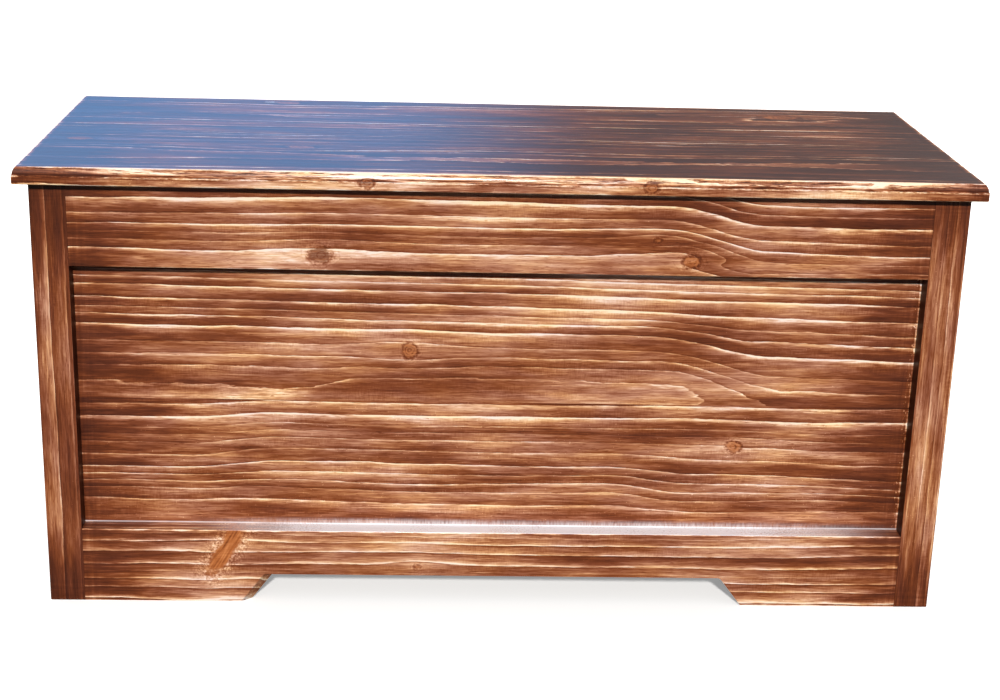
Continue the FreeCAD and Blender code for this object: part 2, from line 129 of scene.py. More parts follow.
class Tree(Nodes):
    """A node tree that also makes masks, noise and colours."""

    def weigh(self, shares, weights):
        """Named numbers added up, each times the weight of the same name."""
        return self.total(*(self.product(shares[name], weight) for name, weight in weights.items()))

    def flip(self, mask, clamp=False):
        """What a mask leaves of 1."""
        return self.math("SUBTRACT", 1.0, mask, clamp=clamp)

    def bell(self, value):
        """A bell curve: e to the minus value squared, which is 1 at nought."""
        return self.math("EXPONENT", self.product(value, value, -1.0))

    def ramp(self, value, low, high, start=0.0, end=1.0, smooth=True):
        """A number carried from one range to another and kept inside it."""
        kind = "SMOOTHSTEP" if smooth else "LINEAR"
        inputs = {0: value, 1: low, 2: high, 3: start, 4: end}
        return self.add("ShaderNodeMapRange", inputs, interpolation_type=kind).outputs[0]

    def near(self, value, place, reach):
        """A mask that is 1 at a place and fades out within the reach."""
        return self.ramp(self.math("ABSOLUTE", self.math("SUBTRACT", value, place)), reach, 0.0)

    def blend(self, factor, first, second):
        """Two colours mixed."""
        inputs = {0: factor, 6: first, 7: second}
        return self.add("ShaderNodeMix", inputs, data_type="RGBA").outputs[2]

    def cloud(self, place, lengths, seed, detail=1.0, roughness=0.5):
        """The outputs of cloudy noise that has features of the given lengths in mm."""
        inverse = [1 / length for length in lengths]
        squeezed = self.vector("MULTIPLY", place, inverse)
        inputs = {
            "Vector": self.vector("ADD", squeezed, self.times(SEED_STEP, seed)),
            "Scale": 1.0,
            "Detail": detail,
            "Roughness": roughness,
        }
        return self.add("ShaderNodeTexNoise", inputs).outputs

    def noise(self, place, lengths, seed, detail=1.0, roughness=0.5):
        """Cloudy noise as a number that swings round 0."""
        return self.math("SUBTRACT", self.cloud(place, lengths, seed, detail, roughness)[0], 0.5)

    def colours(self, value, stops):
        """A colour ramp through stops, which are pairs of a place and a colour."""
        node = self.add("ShaderNodeValToRGB", {0: value})
        elements = node.color_ramp.elements
        while len(elements) < len(stops):
            elements.new(0.5)  # moved to its place below
        for element, (place, colour) in zip(elements, stops):
            element.position = place
            element.color = (*colour, 1)
        return node.outputs[0]


print("masks, noise and colours ready")

# %% New groups
def numbers(*names):
    """Sockets for plain numbers."""
    return dict.fromkeys(names, "Float")


def new_group(name, inputs, outputs):
    """An empty shader group, with its tree, its input sockets and its output sockets."""
    group = bpy.data.node_groups.new(name, "ShaderNodeTree")
    for title, kind in inputs.items():
        group.interface.new_socket(name=title, in_out="INPUT", socket_type=f"NodeSocket{kind}")
    for title, kind in outputs.items():
        group.interface.new_socket(name=title, in_out="OUTPUT", socket_type=f"NodeSocket{kind}")
    tree = Tree(group)
    return group, tree, tree.add("NodeGroupInput").outputs, tree.add("NodeGroupOutput").inputs


print("short hand for groups ready")

# %% [markdown]
# ## Growth rings
# A tree grows a ring a year round its pith, and a board is a slice through those rings. So the
# figure isn't drawn on the face: the distance from the pith is worked out in space, and counted in
# ring widths. The pith lies some way behind the board, which gives wide arches where the face just
# touches a ring and narrow lines where it cuts across. The tree wasn't straight, so slow noise
# stretched along the grain moves the pith, and a ripple and a finer shiver shake each line a little.
# Good and bad years make some rings wider than others.

# %% Group: growth rings
RIPPLE_HEIGHT = 2.4
SHIVER_HEIGHT = 0.7
WEATHER_PACE = 0.3
WEATHER_SHIFT = 1.5
growth_rings, tree, given, made = new_group(
    "Growth Rings",
    {
        "Board": "Vector",
        "Pith": "Vector",
        **numbers("Ring Width", "Lean", "Wander", "Push", "Seed"),
    },
    numbers("Ring Place", "Ring Number"),
)
board = given["Board"]
seed = given["Seed"]
drift = tree.cloud(board, (380, 90, 90), seed, detail=1.5)[1]
sway = tree.times(tree.vector("SUBTRACT", drift, (0.5, 0.5, 0.5)), given["Wander"])
from_pith = tree.vector("ADD", tree.vector("SUBTRACT", board, given["Pith"]), sway)
distance = tree.vector("LENGTH", tree.vector("MULTIPLY", from_pith, (0, 1, 1)))
ripple = tree.noise(board, (55, 9, 9), seed, detail=2)
shiver = tree.noise(board, (9, 2, 2), seed)
leaning = tree.product(tree.axes(board)[0], given["Lean"])
shaken = tree.total(distance, tree.product(ripple, RIPPLE_HEIGHT), tree.product(shiver, SHIVER_HEIGHT))
years = tree.math("DIVIDE", tree.total(shaken, leaning, given["Push"]), given["Ring Width"])
inputs = {"W": tree.total(tree.product(years, WEATHER_PACE), seed), "Scale": 1.0, "Detail": 0.0}
weather = tree.add("ShaderNodeTexNoise", inputs, noise_dimensions="1D").outputs[0]
years = tree.total(years, tree.product(weather, WEATHER_SHIFT))
tree.feed(made["Ring Place"], tree.math("FRACT", years))
tree.feed(made["Ring Number"], tree.math("FLOOR", years))
print("group", growth_rings.name)

# %% [markdown]
# ## Knots
# A knot is a branch that the trunk grew round. On the board it shows as a small oval with rings of
# its own, a dark bark line round it, pale flecks beside it, and growth rings that part and pass it on
# both sides. Distances are counted in the knot's own radius, shaken a little, so one set of masks
# serves every size. The group gives the masks of the core, the rim and the flecks, and the streaks of
# the branch's own wood.

# %% Group: knot, its masks
OUTLINE_WOBBLE = 0.9
RINGS_IN_KNOT = 3.0
INNER_RING_SHADE = 0.7
KNOT_MASKS = ("Core", "Rim", "Halo", "Heart")
knot_group, tree, given, made = new_group(
    "Knot",
    {
        "Board": "Vector",
        "Place": "Vector",
        "Size": "Float",
        "Shape": "Vector",
        **numbers("Turn", "Bend", "Shift", "Spread", "Flecks", "Shade", "Seed"),
    },
    numbers(*KNOT_MASKS, "Push"),
)
board = given["Board"]
seed = given["Seed"]
size = given["Size"]
offset = tree.vector("SUBTRACT", board, given["Place"])
turning = {"Vector": offset, "Angle": given["Turn"]}
turned = tree.add("ShaderNodeVectorRotate", turning, rotation_type="Y_AXIS").outputs[0]
oval = tree.vector("DIVIDE", turned, given["Shape"])
wobble = tree.noise(board, (11, 14, 9), seed, detail=2.5)
radius = tree.math("DIVIDE", tree.vector("LENGTH", oval), size)
radius = tree.total(radius, tree.product(wobble, OUTLINE_WOBBLE))
core = tree.ramp(radius, 1.1, 0.7)
tree.feed(made["Core"], core)

inner_rings = tree.math("PINGPONG", tree.product(radius, RINGS_IN_KNOT), 0.5)
rings_seen = tree.product(tree.ramp(inner_rings, 0.2, 0.5), tree.ramp(radius, 1.9, 0.7))
bark = tree.product(tree.ramp(radius, 0.7, 0.95), tree.ramp(radius, 1.3, 0.95))
rim = tree.math("MAXIMUM", bark, tree.product(rings_seen, INNER_RING_SHADE))
cracked = tree.noise(board, (3, 6, 2.5), seed, detail=2)
sound_bark = tree.ramp(given["Flecks"], 0.4, 0.9, 1.0, 0.15)
tree.feed(made["Rim"], tree.product(rim, sound_bark, tree.ramp(cracked, -0.2, 0.15, 0.2, 1.2)))

tip = tree.math("DIVIDE", tree.math("ABSOLUTE", tree.axes(oval)[0]), size)
beside = tree.product(tree.ramp(radius, 2.4, 1.1), tree.ramp(tip, 1.3, 0.8))
tree.feed(made["Halo"], tree.product(beside, given["Flecks"]))
heart = tree.noise(turned, (26, 2.5, 2.5), seed, detail=2)
tree.feed(made["Heart"], tree.product(tree.total(heart, given["Shade"]), core))
print("group", knot_group.name, "has its masks")

# %% [markdown]
# The rings bend round a knot by themselves if the group also gives a push in millimetres, which is
# added to the distance from the pith. Close to the knot the push has one sign above it and the other
# below, so the rings part. Beyond the knot they may shift to another level, less so the further off
# they pass.

# %% Group: knot, its push on the rings
SWING_REACH = 2.8
PARTING_REACH = 0.6
SHIFT_START = -25
SHIFT_END = 75
swing = tree.vector("LENGTH", tree.vector("MULTIPLY", oval, (0.5, 1, 1)))
hump = tree.bell(tree.math("DIVIDE", swing, tree.product(size, SWING_REACH)))
aside = tree.axes(offset)[2]
side = tree.math("TANH", tree.math("DIVIDE", aside, tree.product(size, PARTING_REACH)))
parted = tree.product(hump, side, given["Bend"])
fade = tree.bell(tree.math("DIVIDE", aside, given["Spread"]))
past = tree.ramp(tree.axes(turned)[0], SHIFT_START, SHIFT_END)
tree.feed(made["Push"], tree.math("SUBTRACT", tree.product(past, given["Shift"], fade), parted))
print("group", knot_group.name, "bends the rings")

# %% [markdown]
# ## Edges and ends of a board
# Stain soaks deeper into the ends of a board, the brush leaves strokes across the grain there, and
# the sharp edges are painted paler: sanding rubbed the stain thin there in part, and in part a painted
# highlight runs along them. All need to know how far a point is from the board's edge.
# The half sizes of the board are given, so the gap to each pair of faces is a subtraction. On a face
# one gap is nought, and the middle one of the three is the distance to the nearest edge.

# %% Group: board edges
EDGE_MASKS = ("End", "End Grain", "Arris Rub And Highlight", "Margin", "Strokes")
RUB_SPREAD = 5.0
MARGIN_SPREAD = 3.0
END_REACH = 120.0
END_SPREAD = 240.0


def face_gaps(tree, given):
    """How far a point of a board is from the nearer face of each pair, in mm."""
    from_middle = tree.vector("ABSOLUTE", given["Board"])
    return tree.axes(tree.vector("SUBTRACT", given["Half Size"], from_middle))


board_edges, tree, given, made = new_group(
    "Board Edges",
    {"Board": "Vector", "Half Size": "Vector", **numbers("Wear And Highlight", "Seed")},
    numbers(*EDGE_MASKS),
)
board = given["Board"]
seed = given["Seed"]
gaps = face_gaps(tree, given)
outer_two = tree.total(tree.fold("MINIMUM", list(gaps)), tree.fold("MAXIMUM", list(gaps)))
to_edge = tree.math("SUBTRACT", tree.total(*gaps), outer_two)
rub = tree.noise(board, (24, 5, 5), seed, detail=3, roughness=0.6)
# the sharp edges made paler: rubbed thin in part, painted highlight along them in part
rubbed_and_highlit = tree.ramp(tree.total(to_edge, tree.product(rub, RUB_SPREAD)), 1.6, 0.1)
tree.feed(made["Arris Rub And Highlight"], tree.product(rubbed_and_highlit, given["Wear And Highlight"]))
tree.feed(made["Margin"], tree.ramp(tree.total(to_edge, tree.product(rub, MARGIN_SPREAD)), 11.0, 5.0))
ragged = tree.noise(board, (90, 11, 11), seed, detail=3, roughness=0.65)
tree.feed(made["End"], tree.ramp(tree.total(gaps[0], tree.product(ragged, END_SPREAD)), END_REACH, 0.0))
tree.feed(made["End Grain"], tree.ramp(gaps[0], 0.6, 0.2))
strokes = tree.noise(board, (4, 60, 60), seed, detail=2)
tree.feed(made["Strokes"], tree.product(strokes, tree.ramp(gaps[0], 36.0, 8.0)))
print("group", board_edges.name)

# %% [markdown]
# ## Stained pine
# Stain turns pine inside out: the soft early wood of each ring drinks it and goes dark, and the hard
# late wood at the ring's outer side stays as a thin bright line. So each ring runs from dark to
# bright, with a sharp step where the next one starts. No two years are the same, so random numbers
# for each ring set how bright and how thin its line is.

# %% Group: stained pine, its rings
YEAR_APART = 13.7


def year_numbers(tree, given):
    """Three random numbers from 0 to 1 that a whole ring shares."""
    key = tree.total(given["Ring Number"], tree.product(given["Seed"], YEAR_APART))
    drawn = tree.add("ShaderNodeTexWhiteNoise", {"W": key}, noise_dimensions="1D").outputs[1]
    return tree.add("ShaderNodeSeparateColor", {0: drawn}).outputs


stained_pine, tree, given, made = new_group(
    "Stained Pine",
    {
        "Board": "Vector",
        **numbers("Ring Place", "Ring Number", *KNOT_MASKS, *EDGE_MASKS),
        **numbers("Paler Margin And Sheen", "Depth", "Lines", "Contrast", "Seed"),
    },
    {"Color": "Color", **numbers("Roughness", "Height")},
)
board = given["Board"]
seed = given["Seed"]
ring = given["Ring Place"]
year = year_numbers(tree, given)
late_wood = tree.math("POWER", ring, tree.ramp(year[0], 0, 1, 3.5, 16.0, smooth=False))
late_wood = tree.product(late_wood, tree.ramp(ring, 1.0, 0.97))
come_and_go = tree.noise(board, (150, 16, 16), seed, detail=2)
break_up = tree.noise(board, (15, 1.8, 1.8), seed, detail=2)
shine = tree.product(
    tree.ramp(come_and_go, -0.2, 0.12, 0.35, 1.0),
    tree.ramp(year[1], 0, 1, 0.45, 1.0),
    tree.ramp(break_up, -0.3, 0.3, 0.3, 1.7, smooth=False),
)
calm = tree.flip(tree.math("MAXIMUM", given["Core"], given["Halo"]), clamp=True)
line = tree.product(late_wood, shine, calm, given["Lines"])
print("group", stained_pine.name, "has its rings")

# %% [markdown]
# Over the rings come patches where the stain took more or less, long fibres, dark pores, the short
# cross marks that planing leaves, and a few pale nibs of dust that dried into the varnish. Each of
# them, and each mask of the knots and edges, moves one number up or down, the tone of the wood.

# %% Group: stained pine, its tone
BASE_TONE = 0.33
MIDDLE_TONE = 0.38
SHOULDER_SHARPNESS = 2.5
YOUNG_SHARPNESS = 6.0
# the weight of the margin is an input of the group, because it differs from board to board
TONE_WEIGHTS = {
    "year": 0.16,
    "shoulder": 0.26,
    "young": -0.10,
    "soak": 1.05,
    "streak": 0.50,
    "fibre": 0.52,
    "pores": -0.16,
    "plane marks": 0.16,
    "nibs": 0.15,
    "line": 0.62,
    "flecks": 1.0,
    "Arris Rub And Highlight": 0.25,
    "End": -0.30,
    "Strokes": 0.4,
    "Rim": -0.25,
    "End Grain": -0.20,
    "Depth": -1.0,
    "Margin": given["Paler Margin And Sheen"],
}
soak = tree.noise(board, (190, 28, 28), seed, detail=3, roughness=0.6)
fibre = tree.noise(board, (22, 1.3, 1.3), seed, detail=2, roughness=0.65)
planed = tree.noise(board, (1.6, 7, 7), seed)
plane_marks = tree.product(planed, tree.ramp(come_and_go, -0.1, 0.2))
granules = tree.noise(board, (2.0, 3, 1.7), seed, detail=2)
granules = tree.ramp(granules, -0.25, 0.25, -0.16, 0.38, smooth=False)
shares = {
    "year": tree.math("SUBTRACT", year[2], 0.5),
    "shoulder": tree.product(tree.math("POWER", ring, SHOULDER_SHARPNESS), year[1]),
    "young": tree.math("POWER", tree.flip(ring), YOUNG_SHARPNESS),
    "soak": soak,
    "streak": tree.noise(board, (110, 3.4, 3.4), seed, detail=3, roughness=0.7),
    "fibre": fibre,
    "pores": tree.ramp(tree.noise(board, (8, 0.9, 0.9), seed), 0.1, 0.28),
    "plane marks": plane_marks,
    "nibs": tree.ramp(tree.noise(board, (1.6, 1.6, 1.6), seed, detail=0), 0.31, 0.36),
    "line": line,
    "flecks": tree.product(given["Halo"], granules),
    **{name: given[name] for name in (*EDGE_MASKS, "Rim", "Heart", "Depth")},
}
tone = tree.total(BASE_TONE, tree.weigh(shares, TONE_WEIGHTS))
tone = tree.product(tree.math("SUBTRACT", tone, MIDDLE_TONE), given["Contrast"])
tone = tree.total(tone, MIDDLE_TONE)
print("the tone is made of", len(TONE_WEIGHTS), "shares")

# %% [markdown]
# The tone becomes a colour through a ramp from a dark red brown to cream. The hue drifts too, from
# orange where the film is thin to a purplish brown where it lies thick. A branch has wood of its own,
# which is more orange than the trunk's.

# %% Group: stained pine, its colour
STAIN_COLOURS = [
    (-0.40, (0.058, 0.014, 0.006)),
    (0.00, (0.128, 0.031, 0.011)),
    (0.22, (0.213, 0.057, 0.020)),
    (0.42, (0.362, 0.136, 0.065)),
    (0.62, (0.580, 0.283, 0.149)),
    (0.82, (0.830, 0.525, 0.325)),
    (1.00, (0.960, 0.800, 0.620)),
]
COOL_STAIN = (0.97, 0.98, 1.14, 1)
WARM_STAIN = (1.04, 1.00, 0.84, 1)
BRANCH_COLOURS = [(0.0, (0.13, 0.026, 0.007)), (0.5, (0.43, 0.130, 0.036)), (1.0, (0.70, 0.290, 0.105))]
BRANCH_TONE = 0.55
BRANCH_WEIGHTS = {"Heart": 1.4, "fibre": 0.5, "Rim": -0.55, "Depth": -1.0}
BASE_ROUGHNESS = 0.42
ROUGHNESS_SPREAD = 0.2
RELIEF_WEIGHTS = {"line": 1.0, "fibre": 0.5, "plane marks": 0.25}
darkest = STAIN_COLOURS[0][0]
stops = [((place - darkest) / (1 - darkest), colour) for place, colour in STAIN_COLOURS]
wood = tree.colours(tree.ramp(tone, darkest, 1.0, smooth=False), stops)
warmth = tree.noise(board, (70, 14, 14), seed, detail=2)
tint = tree.blend(tree.ramp(warmth, -0.15, 0.15, smooth=False), COOL_STAIN, WARM_STAIN)
wood = tree.vector("MULTIPLY", wood, tint)
branch_tone = tree.total(BRANCH_TONE, tree.weigh(shares, BRANCH_WEIGHTS))
branch_wood = tree.colours(branch_tone, BRANCH_COLOURS)
branch = tree.product(given["Core"], tree.ramp(given["Halo"], 0.3, 0.8, 0.75, 1.0))
tree.feed(made["Color"], tree.blend(branch, wood, branch_wood))
uneven = tree.product(tree.total(fibre, soak), ROUGHNESS_SPREAD)
tree.feed(made["Roughness"], tree.total(BASE_ROUGHNESS, uneven))
tree.feed(made["Height"], tree.weigh(shares, RELIEF_WEIGHTS))
print("group", stained_pine.name, "has its colour")

# %% [markdown]
# ## Bare pine
# Inside the chest the wood was left pale. There the rings look as in the tree: creamy early wood and
# a narrow amber late-wood line that darkens towards the ring's outer side.

# %% Group: bare pine
PINE_COLOURS = [
    (0.0, (0.715, 0.530, 0.322)),
    (0.4, (0.620, 0.400, 0.198)),
    (0.75, (0.455, 0.238, 0.094)),
    (1.0, (0.270, 0.112, 0.042)),
]
BARE_BRANCH = (0.44, 0.205, 0.078, 1)
BARE_BARK = (0.17, 0.062, 0.022, 1)
BRANCH_COVER = 0.85
BASE_AMBER = 0.22
AMBER_WEIGHTS = {"late wood": 0.62, "cloud": 0.35, "fibre": 0.22, "Rim": 0.4, "End Grain": 0.2}
PLANED_ROUGHNESS = 0.58
FIBRE_ROUGHNESS = 0.25
FIBRE_RELIEF = 0.6
bare_pine, tree, given, made = new_group(
    "Bare Pine",
    {"Board": "Vector", **numbers("Ring Place", "Ring Number", "Core", "Rim", "End Grain", "Seed")},
    {"Color": "Color", **numbers("Roughness", "Height")},
)
board = given["Board"]
seed = given["Seed"]
ring = given["Ring Place"]
year = year_numbers(tree, given)
late_wood = tree.product(
    tree.math("POWER", ring, tree.ramp(year[0], 0, 1, 2.5, 6.0, smooth=False)),
    tree.ramp(ring, 1.0, 0.96),
    tree.ramp(year[1], 0, 1, 0.45, 1.0),
)
fibre = tree.noise(board, (24, 1.1, 1.1), seed, detail=2, roughness=0.6)
shares = {
    "late wood": late_wood,
    "cloud": tree.noise(board, (260, 60, 60), seed, detail=2),
    "fibre": fibre,
    "Rim": given["Rim"],
    "End Grain": given["End Grain"],
}
wood = tree.colours(tree.total(BASE_AMBER, tree.weigh(shares, AMBER_WEIGHTS)), PINE_COLOURS)
branch_wood = tree.blend(given["Rim"], BARE_BRANCH, BARE_BARK)
tree.feed(made["Color"], tree.blend(tree.product(given["Core"], BRANCH_COVER), wood, branch_wood))
tree.feed(made["Roughness"], tree.total(PLANED_ROUGHNESS, tree.product(fibre, FIBRE_ROUGHNESS)))
tree.feed(made["Height"], tree.total(late_wood, tree.product(fibre, FIBRE_RELIEF)))
print("group", bare_pine.name)

# %% [markdown]
# ## Wear and painted highlights on the lid's moulding
# A moulding is handled and wiped more than any other place. Its two ridges, the crown at the top and
# the little step below it, are painted pale: rubbed wear in part, and in part painted highlights and
# glints where they catch the light. The corner between them is darkened as painted shade of that
# crease, where stain also stays, and stain stays dark in the fine lines that the cutter left. The
# group finds them from the distance to the lid's rim and the depth below its top, both in millimetres.

# %% Group: moulding wear and painted highlights
MOULDING_DEPTH = 8.5
MOULDING_WIDTH = 4.5
CROWN_RUB_AND_HIGHLIGHT = 1.7
STEP_RUB_AND_HIGHLIGHT = 2.4
FLECK_RUB_AND_GLINT = 2.4
CUTTER_LINES = 1.4
moulding_wear_and_highlights, tree, given, made = new_group(
    "Moulding Wear And Highlights",
    {"Board": "Vector", "Half Size": "Vector", "Seed": "Float"},
    numbers("Bright", "Dark"),
)
board = given["Board"]
seed = given["Seed"]
gaps = face_gaps(tree, given)
to_rim = tree.math("MINIMUM", gaps[0], gaps[2])
below_top = tree.total(tree.axes(board)[1], tree.axes(given["Half Size"])[1])
patches = tree.noise(board, (40, 6, 6), seed, detail=3, roughness=0.7)
flecks = tree.noise(board, (5, 1.2, 1.2), seed, detail=2, roughness=0.7)
# crown and step made pale: rubbed wear, and painted highlights and glints
crown = tree.product(tree.near(to_rim, MOULDING_WIDTH, 1.6), tree.near(below_top, 0.0, 2.0))
step = tree.product(tree.near(to_rim, 0.4, 1.2), tree.near(below_top, MOULDING_DEPTH + 0.5, 1.7))
ridges = tree.math("MAXIMUM", tree.product(crown, CROWN_RUB_AND_HIGHLIGHT), tree.product(step, STEP_RUB_AND_HIGHLIGHT))
rubbed_and_highlit = tree.total(tree.ramp(patches, -0.2, 0.1, 0.3, 1.0), tree.product(flecks, FLECK_RUB_AND_GLINT))
tree.feed(made["Bright"], tree.product(ridges, rubbed_and_highlit))
# painted shade in the crease between crown and step, where stain also stays
corner = tree.product(
    tree.near(to_rim, 1.5, 1.2),
    tree.near(below_top, MOULDING_DEPTH - 1.8, 2.2),
    tree.ramp(patches, 0.3, -0.2),
)
cutter = tree.noise(board, (22, 1.3, 1.3), seed, detail=3, roughness=0.7)
foot = MOULDING_DEPTH + 1
on_moulding = tree.product(tree.ramp(below_top, 0.2, 0.8), tree.ramp(below_top, foot, foot - 1))
cutter = tree.product(tree.ramp(cutter, -0.02, 0.16), on_moulding, CUTTER_LINES)
tree.feed(made["Dark"], tree.math("MAXIMUM", corner, cutter))
print("group", moulding_wear_and_highlights.name)

# %% [markdown]
# ## One material for each board
# Every board was cut from another place in another tree, so every board gets a material of its own
# from the same groups. A Mapping node turns the scene's coordinates into the board's: X along the
# grain, Y into the board from its show face, Z across it, in millimetres from its middle. The seed,
# the place of the pith and the knots are what makes a board itself.

# %% Board coordinates
MILLIMETRES = 1000
AXES = {
    "+x": Vector((1, 0, 0)),
    "-x": Vector((-1, 0, 0)),
    "+y": Vector((0, 1, 0)),
    "-y": Vector((0, -1, 0)),
    "+z": Vector((0, 0, 1)),
    "-z": Vector((0, 0, -1)),
}


def board_space(tree, members, grain, inward):
    """Coordinates in mm from the middle of a board, or of boards glued up as one, and half sizes."""
    lows, highs = zip(*(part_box(member) for member in members))
    low = Vector(map(min, zip(*lows)))
    high = Vector(map(max, zip(*highs)))
    along = AXES[grain]
    into = AXES[inward]
    turn = Matrix((along, into, along.cross(into)))
    inputs = {
        "Vector": tree.add("ShaderNodeTexCoord").outputs["Object"],
        "Location": turn @ ((low + high) / -2) * MILLIMETRES,
        "Rotation": turn.to_euler(),
        "Scale": (MILLIMETRES,) * 3,
    }
    place = tree.add("ShaderNodeMapping", inputs, vector_type="POINT").outputs[0]
    half = turn @ ((high - low) / 2) * MILLIMETRES
    return place, [abs(side) for side in half]


print("grain and depth may run along", *AXES)

# %% [markdown]
# A few numbers place a knot on a board, and usual ones stand in for those that aren't said. The knots
# come first, because their pushes add up and bend the rings.

# %% Knots and rings of a board
def fill_group(tree, group, inputs):
    """Place a group and join or set the inputs that it has."""
    node = tree.add("ShaderNodeGroup", node_tree=group)
    for name, value in inputs.items():
        if name in node.inputs:
            tree.feed(node.inputs[name], value)
    return node.outputs


def place_knot(tree, place, knot, seed):
    """Put one knot on a board, with usual values for what isn't said of it."""
    inputs = {
        "Board": place,
        "Place": (knot["x"], 0, knot["z"]),
        "Size": knot["size"],
        "Shape": (knot.get("long", 1.3), knot.get("deep", 6.0), 1.0),
        "Turn": knot.get("turn", 0.0),
        "Bend": knot.get("bend", 0.0),
        "Shift": knot.get("shift", 0.0),
        "Spread": knot.get("spread", 300.0),
        "Flecks": knot.get("flecks", 0.3),
        "Shade": knot.get("shade", 0.0),
        "Seed": seed,
    }
    return fill_group(tree, knot_group, inputs)


def board_figure(tree, place, wood):
    """The masks of a board's knots, and its rings as the knots bend them."""
    figure = dict.fromkeys(KNOT_MASKS, 0.0)
    push = 0.0
    for step, knot in enumerate(wood.get("knots", [])):
        placed = place_knot(tree, place, knot, wood["seed"] + step)
        for name in KNOT_MASKS:
            joined = "ADD" if name == "Heart" else "MAXIMUM"
            figure[name] = tree.math(joined, placed[name], figure[name])
        push = tree.total(placed["Push"], push)
    inputs = {
        "Board": place,
        "Pith": (0, *wood["pith"]),
        "Ring Width": wood.get("ring", 5.5),
        "Lean": wood.get("lean", 0.0),
        "Wander": wood.get("wander", 16.0),
        "Push": push,
        "Seed": wood["seed"],
    }
    rings = fill_group(tree, growth_rings, inputs)
    figure.update({name: rings[name] for name in ("Ring Place", "Ring Number")})
    return figure


print("board helpers ready")

# %% [markdown]
# ## Stain outside, bare wood inside
# The maker stained what shows with the lid shut and stopped at the inner faces. Those faces belong to
# the same boards, so a mask in the chest's own coordinates chooses the finish: inside the four walls
# the wood is bare. The panels are thinner than the rails, so their inner faces, and the strips of the
# posts beside them, are set back a little. Their mask ends a hair below the rim, which is stained.

# %% Group: inside of the chest
inner_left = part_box("left_top_rail")[1].x
inner_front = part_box("front_top_rail")[1].y
rim_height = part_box("front_top_rail")[1].z
panel_set_back = inner_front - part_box("front_panel_upper")[1].y
MASK_MARGIN = 0.0003
RIM_KEPT = 0.1
inside_chest, tree, given, made = new_group(
    "Inside Chest", {"Object": "Vector", "Set Back": "Float"}, numbers("Inside")
)
across, deep, high = tree.axes(tree.vector("ABSOLUTE", given["Object"]))
set_back = given["Set Back"]
room_x = tree.math("SUBTRACT", tree.total(set_back, MASK_MARGIN - inner_left), across)
room_y = tree.math("SUBTRACT", tree.total(set_back, MASK_MARGIN - inner_front), deep)
top = tree.math("SUBTRACT", rim_height + MASK_MARGIN, tree.product(set_back, RIM_KEPT))
room = tree.fold("MINIMUM", [room_x, room_y, tree.math("SUBTRACT", top, high)])
tree.feed(made["Inside"], tree.ramp(room, 0.0, MASK_MARGIN / 2))
print("group", inside_chest.name)

# %% [markdown]
# ## Dust and painted sheen on the ledges
# Each panel stands back from its frame, so the bottom rail makes a narrow ledge below it. The ledge is
# painted a pale lilac grey without varnish, most a little right of the middle: settled dust in part,
# and in part painted reflection of the sky. The plane left cross marks on that edge, and they show as
# fine hatching in it. On the foot of the panel a thin pale line is a painted highlight, and the smear
# above it is painted light thrown up from the ledge.

# %% Group: ledge dust and painted sheen
REFLECTED_LIGHT_HEIGHT = 9.0
DUST_AND_SHEEN_MIDDLE = 55.0
DUST_AND_SHEEN_SEED = 3.0
HATCHING_SEED = 5.0
DUST_AND_SHEEN_COVER = 1.02
HATCHING_COVER = 1.6
REFLECTED_LIGHT_COVER = 0.42
DRIFTS_IN_REFLECTED_LIGHT = 0.8
FOOT_HIGHLIGHT_COVER = 0.6
ledge_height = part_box("front_bottom_rail")[1].z * MILLIMETRES
ledge_dust_and_sheen, tree, given, made = new_group("Ledge Dust And Sheen", {"Object": "Vector"}, numbers("Dust And Sheen"))
place = tree.times(given["Object"], MILLIMETRES)
along_x, along_y, up = tree.axes(place)
above = tree.math("SUBTRACT", up, ledge_height)
from_heap = tree.math("ABSOLUTE", tree.math("SUBTRACT", along_x, DUST_AND_SHEEN_MIDDLE))
to_middle = tree.math("MAXIMUM", from_heap, tree.math("ABSOLUTE", along_y))
drifts = tree.noise(place, (60, 60, 60), DUST_AND_SHEEN_SEED, detail=2)
hatching = tree.noise(place, (2.2, 2.2, 9), HATCHING_SEED, detail=2)
settled_dust_and_sheen = tree.product(
    tree.total(DUST_AND_SHEEN_COVER, drifts, tree.product(hatching, HATCHING_COVER)),
    tree.ramp(to_middle, 400, 220, 0.0, 1.05),
    tree.ramp(above, 1.8, 0.8),
)
# painted light thrown up from the ledge onto the foot of the panel
painted_reflected_light = tree.product(
    tree.ramp(above, REFLECTED_LIGHT_HEIGHT, 1.0),
    tree.ramp(to_middle, 420, 180),
    tree.total(REFLECTED_LIGHT_COVER, tree.product(drifts, DRIFTS_IN_REFLECTED_LIGHT), hatching),
)
# a painted highlight along the foot of the panel
foot_highlight = tree.product(
    tree.ramp(above, 0.1, 0.3),
    tree.ramp(above, 2.0, 1.2),
    tree.total(FOOT_HIGHLIGHT_COVER, drifts),
)
on_ledge = tree.ramp(above, -0.5, -0.15)
dust_and_sheen = tree.fold("MAXIMUM", [settled_dust_and_sheen, painted_reflected_light, foot_highlight])
tree.feed(made["Dust And Sheen"], tree.math("MULTIPLY", dust_and_sheen, on_ledge, clamp=True))
print("group", ledge_dust_and_sheen.name)

# %% [markdown]
# ## Painted shade in the recess of the frame
# The narrow faces of the posts that look at the recessed panel are painted almost black in patches,
# as painted shade of the recess.

